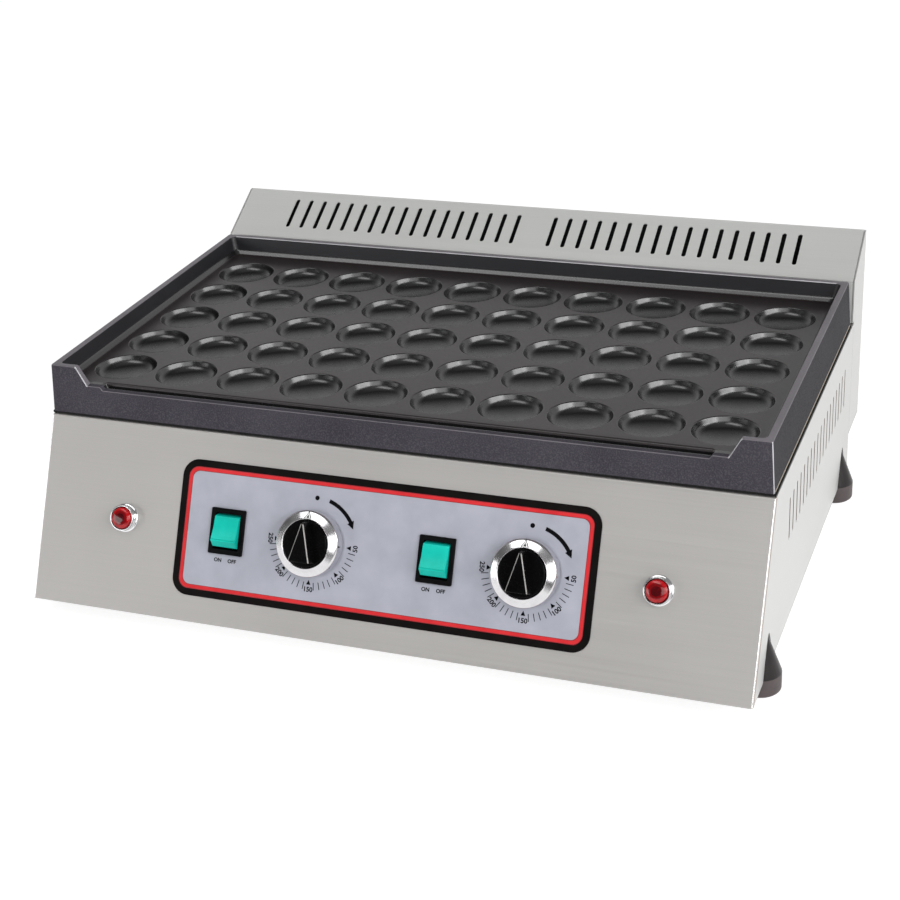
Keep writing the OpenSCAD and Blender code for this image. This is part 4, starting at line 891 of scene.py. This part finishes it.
def build_overlay():
    """A thin sheet with bands of (inset, height, look): black border, red line, grey field."""
    inner = BORDER_W + LINE_W
    bands = [
        (0, 0, "border"), (0, OVERLAY_T - OVERLAY_BREAK, "border"), (OVERLAY_BREAK, OVERLAY_T, "border"),
        (BORDER_W, OVERLAY_T, "border"), (BORDER_W + LINE_EDGE, OVERLAY_T, "dark_red"),
        (inner - LINE_EDGE, OVERLAY_T, "red"), (inner, OVERLAY_T, "dark_red")
    ]
    bm = bmesh.new()
    loops = []
    for inset, z, _ in bands:
        corner = max(OVERLAY_R - inset, FIELD_R)
        outline = rounded_loop(OVERLAY_W - 2 * inset, OVERLAY_H - 2 * inset, corner)
        loops.append([bm.verts.new((x, y - CONTROL_DOWN, z)) for x, y in outline])
    for a, b, (_, _, look) in zip(loops, loops[1:], bands[1:]):
        strip(bm, a, b, OVERLAY_LOOKS.index(look))
    top = [[bm.verts.new((x, y, OVERLAY_T)) for x, y in hole] for hole in overlay_holes()]
    low = [[bm.verts.new((x, y, 0)) for x, y in hole] for hole in overlay_holes()]
    border = OVERLAY_LOOKS.index("border")
    for a, b in zip(top, low):
        strip(bm, a, b, border)
    holed_face(bm, loops[-1], top, OVERLAY_LOOKS.index("field"))
    holed_face(bm, loops[0], low, border)
    place(bm, SLOPE)
    add_object("control_overlay_sheet", bm, OVERLAY_LOOKS, "casing", ("control_overlay",),
               sharp=30.0)


build_overlay()


def polar(r, degrees):
    """A point at a clock angle: zero at the top, growing clockwise as seen from the front."""
    a = math.radians(degrees)
    return Vector((r * math.sin(a), r * math.cos(a)))


def ink_shape(bm, points):
    prism(bm, points, 0, INK_T)


def tick(bm, degrees):
    side = polar(TICK_W / 2, degrees + 90)
    near, far = polar(TICK_INNER, degrees), polar(TICK_OUTER, degrees)
    ink_shape(bm, [near - side, far - side, far + side, near + side])


def mark(bm, degrees):
    """A small arrowhead that points towards the knob."""
    half = MARK_SIZE / 2
    side = polar(half, degrees + 90)
    base = polar(MARK_AT + half, degrees)
    ink_shape(bm, [polar(MARK_AT - half, degrees), base + side, base - side])


def text_prism(bm, words, size, at, turn=0.0):
    """Plain figures or words as thin closed prisms, centred on a point."""
    curve = bpy.data.curves.new("figures", "FONT")
    curve.body = words
    curve.size = size
    curve.align_x = curve.align_y = "CENTER"
    curve.resolution_u = TEXT_STEPS
    curve.offset = BOLD
    curve.extrude = INK_T / 2
    obj = bpy.data.objects.new("figures", curve)
    SCENE.collection.objects.link(obj)
    deps = bpy.context.evaluated_depsgraph_get()
    mesh = bpy.data.meshes.new_from_object(obj.evaluated_get(deps))
    mesh.transform(Matrix.Translation((at[0], at[1], INK_T / 2)) @ Matrix.Rotation(turn, 4, "Z"))
    bm.from_mesh(mesh)
    bpy.data.objects.remove(obj)
    bpy.data.curves.remove(curve)
    bpy.data.meshes.remove(mesh)


def add_print(name, bm, across):
    place(bm, on_slope(across, out=OVERLAY_T))
    add_object(name, bm, ["ink"], "casing", (), sharp=30.0, weighted=False)


def build_dial(side):
    """Off dot, turning arrow, and ticks and figures from 50 to 250 round a knob."""
    bm = bmesh.new()
    ink_shape(bm, [polar(DOT_AT, 0) + polar(DOT_R, k * 360 / DOT_STEPS) for k in range(DOT_STEPS)])
    outer = [polar(ARROW_OUTER, a) for a in ARROW_ANGLES]
    inner = [polar(ARROW_INNER, a) for a in ARROW_ANGLES]
    ink_shape(bm, inner + outer[::-1])
    ink_shape(bm, [polar(r, a) for r, a in ARROW_HEAD])
    for a in TICK_ANGLES:
        if a in FIGURES:
            mark(bm, a)
            text_prism(bm, FIGURES[a], FIGURE_SIZE, polar(FIGURE_AT, a), math.radians(180 - a))
        else:
            tick(bm, a)
    add_print(side + "_dial_print", bm, KNOBS[side])


def build_caption(side):
    bm = bmesh.new()
    for words, x in CAPTIONS.items():
        text_prism(bm, words, CAPTION_SIZE, (x, CAPTION_Y))
    add_print(side + "_switch_print", bm, SWITCHES[side])


for side in KNOBS:
    build_dial(side)
    build_caption(side)


# Switches

# Rocker about its pin, seen from the side, and the pin (mm)
ROCKER_REACH = 12.5
ROCKER_PIVOT = 3.0
ROCKER_TILT = math.radians(13)
ROCKER_HALF = 9.5
RIDGE_SHARE = 0.72
CREASE_IN = 0.7
CREASE_W = 0.5
CREASE_DEPTH = 0.5
CREASE_FALL = 0.05
DISH_DEPTH = 0.8
CHINE_IN = 1.0
CHINE_H = 3.0
KEEL_HALF = 3.0
KEEL_H = 6.0
ROCKER_RADII = [0, 0.4, 0.05, 0.05, 0.05, 3, 0.8, 0]
ROCKER_STEPS = 3
ROCKER_ROUND = 0.5
PIN_R = 1.5
PIN_HALF = 10.8
PIN_STEPS = 24
# Lays a side view drawn in X and Y into Y and Z
SIDE_VIEW = Matrix(((0, 0, 1, 0), (1, 0, 0, 0), (0, 1, 0, 0), (0, 0, 0, 1)))


def rocker_outline():
    """Side view of a rocker about its pin: two ridges, a shallow dish and ends that clear the frame."""
    ridge = ROCKER_REACH * RIDGE_SHARE
    ridge_h = math.sqrt(ROCKER_REACH ** 2 - ridge ** 2)
    end = math.sqrt(ROCKER_REACH ** 2 - ROCKER_PIVOT ** 2)
    crease = ridge - CREASE_IN
    points = [
        (-end, ROCKER_PIVOT), (-ridge, ridge_h), (-crease, ridge_h),
        (CREASE_W / 2 - crease, ridge_h - CREASE_DEPTH), (CREASE_W - crease, ridge_h - CREASE_FALL),
        (0, ridge_h - DISH_DEPTH), (ridge, ridge_h), (end, ROCKER_PIVOT)
    ]
    chine = end - CHINE_IN
    keel = [(chine, -CHINE_H), (KEEL_HALF, -KEEL_H), (-KEEL_HALF, -KEEL_H), (-chine, -CHINE_H)]
    return rounded(points, ROCKER_RADII, ROCKER_STEPS) + keel


def build_rocker(side):
    bm = bmesh.new()
    ends = prism(bm, rocker_outline(), -ROCKER_HALF, ROCKER_HALF)
    rim = [edge for face in ends for edge in face.edges]
    round_edges(bm, rim, ROCKER_ROUND, ROCKER_STEPS)
    place(bm, SIDE_VIEW)
    pin = bmesh.new()
    revolve(pin, [(0, -PIN_HALF), (PIN_R, -PIN_HALF), (PIN_R, PIN_HALF), (0, PIN_HALF)], PIN_STEPS)
    place(pin, Matrix.Rotation(math.pi / 2, 4, "Y"))
    join(bm, pin)
    at = on_slope(SWITCHES[side], out=OVERLAY_T - ROCKER_PIVOT) @ Matrix.Rotation(-ROCKER_TILT, 4, "X")
    place(bm, at)
    add_object(side + "_rocker_key", bm, ["green"], side + "_switch", (side + "_rocker",),
               sharp=30.0)


for side in SWITCHES:
    build_rocker(side)
    soften(side + "_switch_housing", ["frame"], width=0.3)


# Knobs

# Grip and ring as (radius, height) points over the overlay, and the radii of their corners (mm)
GRIP_R = 16.6
GRIP_TOP = 14.6
GRIP = [
    (3.05, 5.2), (6, 5.2), (6, 6), (21.2, 6), (21.2, 7.5),
    (GRIP_R, 7.5), (GRIP_R, GRIP_TOP), (0, GRIP_TOP)
]
GRIP_RADII = [0, 0.2, 0.2, 0.2, 0.2, 0.1, 1.0, 0]
GRIP_BORE = [(3.05, 5.2), (3.05, 13.8), (0, 13.8)]
GRIP_STEPS = 72
# The ring's face falls to the outside between these two points, as the photo shows
FACE_TOP = (18.3, 13.2)
FACE_END = (22.7, 11.5)
RING = [
    (16.7, 7.5), (16.7, 12.9), (17.5, 13.6), FACE_TOP, FACE_END, (23.6, 10.6), (23.6, 1.2), (22.4, 1.2),
    (22.4, 7.5), (16.7, 7.5)
]
RING_RADII = [0, 0.4, 0.5, 0.4, 0.6, 0.6, 0.3, 0.3, 0.2, 0]
RING_STEPS = 96
# Steps in the rounding of a turned profile's corners
TURN_STEPS = 4

# Bar of the grip (mm)
BAR_H = 22.5
BAR_TIP = 2.4
BAR_END = 9.6
BAR_LEAN = math.tan(math.radians(12))
BAR_INSET = 0.6
BAR_SINK = 0.6
BAR_ROUND = 0.6
BAR_STEPS = 3
TIP_SHARE = 0.9
END_DRAW = 0.1
GRIP_LOOKS = ["black", "shine"]
# Faces of the bar's rounded edges above this height that lean aside this much are pale, as painted
# highlights
SHINE_Z = BAR_H - 0.7
SHINE_LEAN = 0.2

# Pointer triangles: half width, foot and tip from the knob's middle, underside, top (mm) and look
POINTER_LOOKS = ["white", "ink"]
POINTER_LAYERS = [
    (3.0, 17.9, 23.2, -0.5, 0.10, "ink"),
    (2.2, 18.1, 22.4, 0.0, 0.16, "white"),
    (0.9, 18.4, 20.6, 0.05, 0.21, "ink")
]


def grip_bar():
    """The grip's bar: a wedge with leaning sides that points at the dial."""
    reach = GRIP_R - BAR_INSET
    tip_y = math.sqrt(reach ** 2 - BAR_TIP ** 2)
    end_y = -math.sqrt(reach ** 2 - BAR_END ** 2)
    draw = (BAR_H - GRIP_TOP) * BAR_LEAN
    foot = [(-BAR_TIP, tip_y), (BAR_TIP, tip_y), (BAR_END, end_y), (-BAR_END, end_y)]
    tip, end = BAR_TIP - draw * TIP_SHARE, BAR_END - draw
    crown_y = end_y + END_DRAW
    crown = [(-tip, tip_y - draw), (tip, tip_y - draw), (end, crown_y), (-end, crown_y)]
    bm = bmesh.new()
    low = [bm.verts.new((x, y, GRIP_TOP - BAR_SINK)) for x, y in foot]
    high = [bm.verts.new((x, y, BAR_H)) for x, y in crown]
    bm.faces.new(high)
    bm.faces.new(low[::-1])
    strip(bm, low, high, GRIP_LOOKS.index("black"))
    bmesh.ops.recalc_face_normals(bm, faces=bm.faces)
    edges = [e for e in bm.edges if max(v.co.z for v in e.verts) > GRIP_TOP]
    for face in round_edges(bm, edges, BAR_ROUND, BAR_STEPS):
        face.normal_update()
        long_edge = face.calc_center_median().z > SHINE_Z and abs(face.normal.x) > SHINE_LEAN
        face.material_index = GRIP_LOOKS.index("shine" if long_edge else "black")
    return bm


def add_to_knob(side, name, bm, looks, replaces=(), sharp=30.0, weighted=True):
    place(bm, on_slope(KNOBS[side], out=OVERLAY_T))
    add_object(side + name, bm, looks, side + "_knob", replaces, sharp, weighted)


def build_grip(side):
    """Black grip: a disc with a hub and a bore, and the bar on top."""
    bm = bmesh.new()
    revolve(bm, rounded(GRIP, GRIP_RADII, TURN_STEPS), GRIP_STEPS)
    revolve(bm, GRIP_BORE, GRIP_STEPS)
    bmesh.ops.remove_doubles(bm, verts=bm.verts, dist=SEAM_GAP)
    join(bm, grip_bar())
    add_to_knob(side, "_grip", bm, GRIP_LOOKS, (side + "_knob_grip",))


def build_ring(side):
    """Bright skirt ring with a raised inner rim and a face that falls to the outside."""
    bm = bmesh.new()
    revolve(bm, rounded(RING, RING_RADII, TURN_STEPS), RING_STEPS)
    bmesh.ops.remove_doubles(bm, verts=bm.verts, dist=SEAM_GAP)
    add_to_knob(side, "_ring", bm, ["satin"], (side + "_knob_ring",), sharp=40.0)


def build_pointer(side):
    """White triangle with a dark middle and a dark edge, laid on the ring's sloping face."""
    bm = bmesh.new()
    for half, foot, tip, low, high, look in POINTER_LAYERS:
        prism(bm, [(-half, foot), (half, foot), (0.0, tip)], low, high, POINTER_LOOKS.index(look))
    (start, start_z), (end, end_z) = FACE_TOP, FACE_END
    fall = (start_z - end_z) / (end - start)
    for vert in bm.verts:
        vert.co.z += start_z - fall * (vert.co.y - start)
    add_to_knob(side, "_pointer", bm, POINTER_LOOKS, weighted=False)


for side in KNOBS:
    build_grip(side)
    build_ring(side)
    build_pointer(side)


# Pilot lamps

# Bezel and lens as (radius, height) points, and the radii of their corners (mm)
BEZEL = [
    (0, -14), (6, -14), (6, 0), (10.5, 0), (10.5, 1.8), (9.4, 2.1), (9.4, 4.2), (8.9, 4.6),
    (9.4, 5.0), (9.4, 7.0), (8.4, 7.0), (8.4, 2.5), (0, 2.5)
]
BEZEL_RADII = [0, 0.4, 0.1, 0.2, 0.6, 0.3, 0.3, 0.3, 0.3, 0.5, 0.3, 0.1, 0]
BEZEL_STEPS = 72
LENS = [(0, 2.5), (7.9, 2.5), (7.9, 7.0), (7.2, 8.4), (4.98, 9.1), (3.2, 9.27), (0, 9.4)]
LENS_RADII = [0, 0.2, 0.8, 1.2, 0.8, 0.5, 0]
LENS_STEPS = 64
# The bezel's socket takes the black frame look above this height and within this radius (mm), as painted
# shade in its groove
SOCKET_SHADE_Z = 2.4
SOCKET_SHADE_R = 8.45
# The lens is darker in the middle and the core of its top, which starts at this height (mm), as painted
# shade
DOME_Z = 8.0
MIDDLE_R = 5.4
CORE_R = 3.4


def bezel_look(middle):
    # Black inside the socket: painted shade
    return "frame" if middle.z > SOCKET_SHADE_Z and middle.xy.length < SOCKET_SHADE_R else "chrome"


def lens_look(middle):
    out = middle.xy.length
    if middle.z < DOME_Z or out > MIDDLE_R:
        return "lens"
    return "core" if out < CORE_R else "middle"


def lamp_piece(name, at, profile, steps, looks, choose, replaced):
    """A turned piece of a pilot lamp, whose faces take their looks from their places."""
    bm = bmesh.new()
    revolve(bm, profile, steps)
    for face in bm.faces:
        face.material_index = looks.index(choose(face.calc_center_median()))
    place(bm, at)
    add_object(name, bm, looks, "casing", (replaced,), sharp=40.0)


for side, across in LAMPS.items():
    at = on_slope(across)
    bezel = rounded(BEZEL, BEZEL_RADII, TURN_STEPS)
    lamp_piece(side + "_lamp_ring", at, bezel, BEZEL_STEPS, ["chrome", "frame"], bezel_look,
               side + "_lamp_bezel")
    lens = rounded(LENS, LENS_RADII, TURN_STEPS)
    lamp_piece(side + "_lamp_cap", at, lens, LENS_STEPS, ["lens", "middle", "core"], lens_look,
               side + "_lamp_lens")


# Nodes that keep their CAD shape

KEPT = {
    "seal": ["deck_gasket"],
    "brass": ["left_spindle", "right_spindle", "thermostat_nuts", "lamp_nuts", "spade_terminals"],
    "pale": ["left_thermostat", "right_thermostat", "terminal_block"],
    "sheath": ["left_heating_element", "right_heating_element"],
    "screw": ["element_clamps", "foot_screws", "plate_bolts", "tray_screws", "duct_screws"],
    "inner": ["reflector_tray"],
    "fibre": ["insulation_blanket"],
    "copper": ["left_heat_sensor", "right_heat_sensor"],
    "frame": ["cable_gland", "gland_nut"],
}
for look, names in KEPT.items():
    for name in names:
        NODES[name].data.materials.clear()
        NODES[name].data.materials.append(M[look])


# Floor, light and camera

# Brightness of the studio from the horizon (0) to overhead (1), in front of the object and behind it
FRONT_SKY = [(0.0, 0.7), (0.14, 0.12), (0.5, 0.12), (0.8, 0.3)]
BACK_SKY = [(0.0, 0.9), (0.48, 0.75), (0.68, 0.2), (0.80, 0.04), (0.97, 0.2)]
SKY_BLEND = 0.3
# Floor: half size (m), tone for light, and glow and tone where it is seen
FLOOR_SIZE = 6.0
FLOOR_TONE = 0.8
FLOOR_ROUGH = 0.9
FLOOR_GLOW = 0.84
PAPER_TONE = 0.35
# Soft lights: place (m), size (m) and power (W); all look at the same point
LIGHT_TARGET = (0, 0, 0.15)
SOFT_LIGHTS = {
    "right_soft": ((3.86, -1.41, 1.98), (4.1, 1.85), 118),
    "front_soft": ((1.93, -3.63, 1.98), (4.1, 1.85), 56),
    "high_soft": ((-1.12, -2.11, 3.97), (3.3, 1.65), 44),
    "left_soft": ((-2.93, -2.93, 0.81), (2.5, 1.2), 28),
}
# Camera of the photo: place (m), turns about Z, X and Y (degrees) and lens (mm)
CAMERA_AT = (0.46505, -1.21227, 0.69573)
CAMERA_TURNS = (21.51387, -25.65197, 3.09911)
CAMERA_LENS = 74.12


def show_by_ray(nodes, links, kinds, plain, seen, output):
    """Shows one shader to rays of the named kinds and the plain one to all others."""
    path = nodes.new("ShaderNodeLightPath")
    total = path.outputs[kinds[0]]
    for kind in kinds[1:]:
        most = nodes.new("ShaderNodeMath")
        most.operation = "MAXIMUM"
        links.new(total, most.inputs[0])
        links.new(path.outputs[kind], most.inputs[1])
        total = most.outputs[0]
    mix = nodes.new("ShaderNodeMixShader")
    links.new(total, mix.inputs["Fac"])
    links.new(plain.outputs[0], mix.inputs[1])
    links.new(seen.outputs[0], mix.inputs[2])
    links.new(mix.outputs[0], nodes[output].inputs["Surface"])


def build_world():
    """White where the camera looks; for light and reflections a studio that is darker in front."""
    world = bpy.data.worlds.new("studio")
    world.use_nodes = True
    SCENE.world = world
    nodes, links = world.node_tree.nodes, world.node_tree.links
    tex = nodes.new("ShaderNodeTexCoord")
    split = nodes.new("ShaderNodeSeparateXYZ")
    links.new(tex.outputs["Generated"], split.inputs["Vector"])
    height = split.outputs["Z"]
    front = ramp(nodes, links, height, [(at, grey(level)) for at, level in FRONT_SKY])
    back = ramp(nodes, links, height, [(at, grey(level)) for at, level in BACK_SKY])
    side = nodes.new("ShaderNodeMapRange")
    put(side, {"From Min": -SKY_BLEND, "From Max": SKY_BLEND})
    links.new(split.outputs["Y"], side.inputs["Value"])
    both = blend(nodes, links, front, back)
    links.new(side.outputs["Result"], both.inputs["Factor"])
    lit = nodes["Background"]
    links.new(both.outputs["Result"], lit.inputs["Color"])
    white = nodes.new("ShaderNodeBackground")
    put(white, {"Color": (1, 1, 1, 1)})
    show_by_ray(nodes, links, ["Is Camera Ray", "Is Transmission Ray"], lit, white, "World Output")


def build_floor():
    """A white floor that keeps a faint shadow where it is seen."""
    bm = bmesh.new()
    bmesh.ops.create_grid(bm, x_segments=1, y_segments=1, size=FLOOR_SIZE)
    mesh = bpy.data.meshes.new("floor")
    bm.to_mesh(mesh)
    bm.free()
    floor = bpy.data.objects.new("floor", mesh)
    SCENE.collection.objects.link(floor)
    mat, nodes, links, bsdf = new_material("floor_white")
    put(bsdf, {"Base Color": (*grey(FLOOR_TONE), 1), "Roughness": FLOOR_ROUGH})
    glow = nodes.new("ShaderNodeEmission")
    put(glow, {"Color": (1, 1, 1, 1), "Strength": FLOOR_GLOW})
    paper = nodes.new("ShaderNodeBsdfDiffuse")
    put(paper, {"Color": (*grey(PAPER_TONE), 1)})
    add = nodes.new("ShaderNodeAddShader")
    links.new(glow.outputs[0], add.inputs[0])
    links.new(paper.outputs[0], add.inputs[1])
    kinds = ["Is Camera Ray", "Is Glossy Ray", "Is Transmission Ray"]
    show_by_ray(nodes, links, kinds, bsdf, add, "Material Output")
    mesh.materials.append(mat)


def soft_light(name, at, size, power):
    data = bpy.data.lights.new(name, "AREA")
    data.shape = "RECTANGLE"
    data.size, data.size_y = size
    data.energy = power
    obj = bpy.data.objects.new(name, data)
    obj.location = at
    obj.rotation_euler = (Vector(LIGHT_TARGET) - Vector(at)).to_track_quat("-Z", "Y").to_euler()
    SCENE.collection.objects.link(obj)


def build_camera():
    """The photo's camera, turned from a view along Y with Z up."""
    camera = bpy.data.cameras.new("photo_view")
    camera.lens = CAMERA_LENS
    cam = bpy.data.objects.new("photo_view", camera)
    yaw, pitch, roll = (math.radians(angle) for angle in CAMERA_TURNS)
    turn = Matrix.Rotation(yaw, 3, "Z") @ Matrix.Rotation(pitch, 3, "X") @ Matrix.Rotation(roll, 3, "Y")
    axes = Matrix((turn.col[0], turn.col[2], -turn.col[1])).transposed()
    cam.matrix_world = Matrix.Translation(CAMERA_AT) @ axes.to_4x4()
    SCENE.collection.objects.link(cam)
    SCENE.camera = cam


build_world()
build_floor()
for name, light in SOFT_LIGHTS.items():
    soft_light(name, *light)
build_camera()
SCENE.view_settings.view_transform = "Standard"
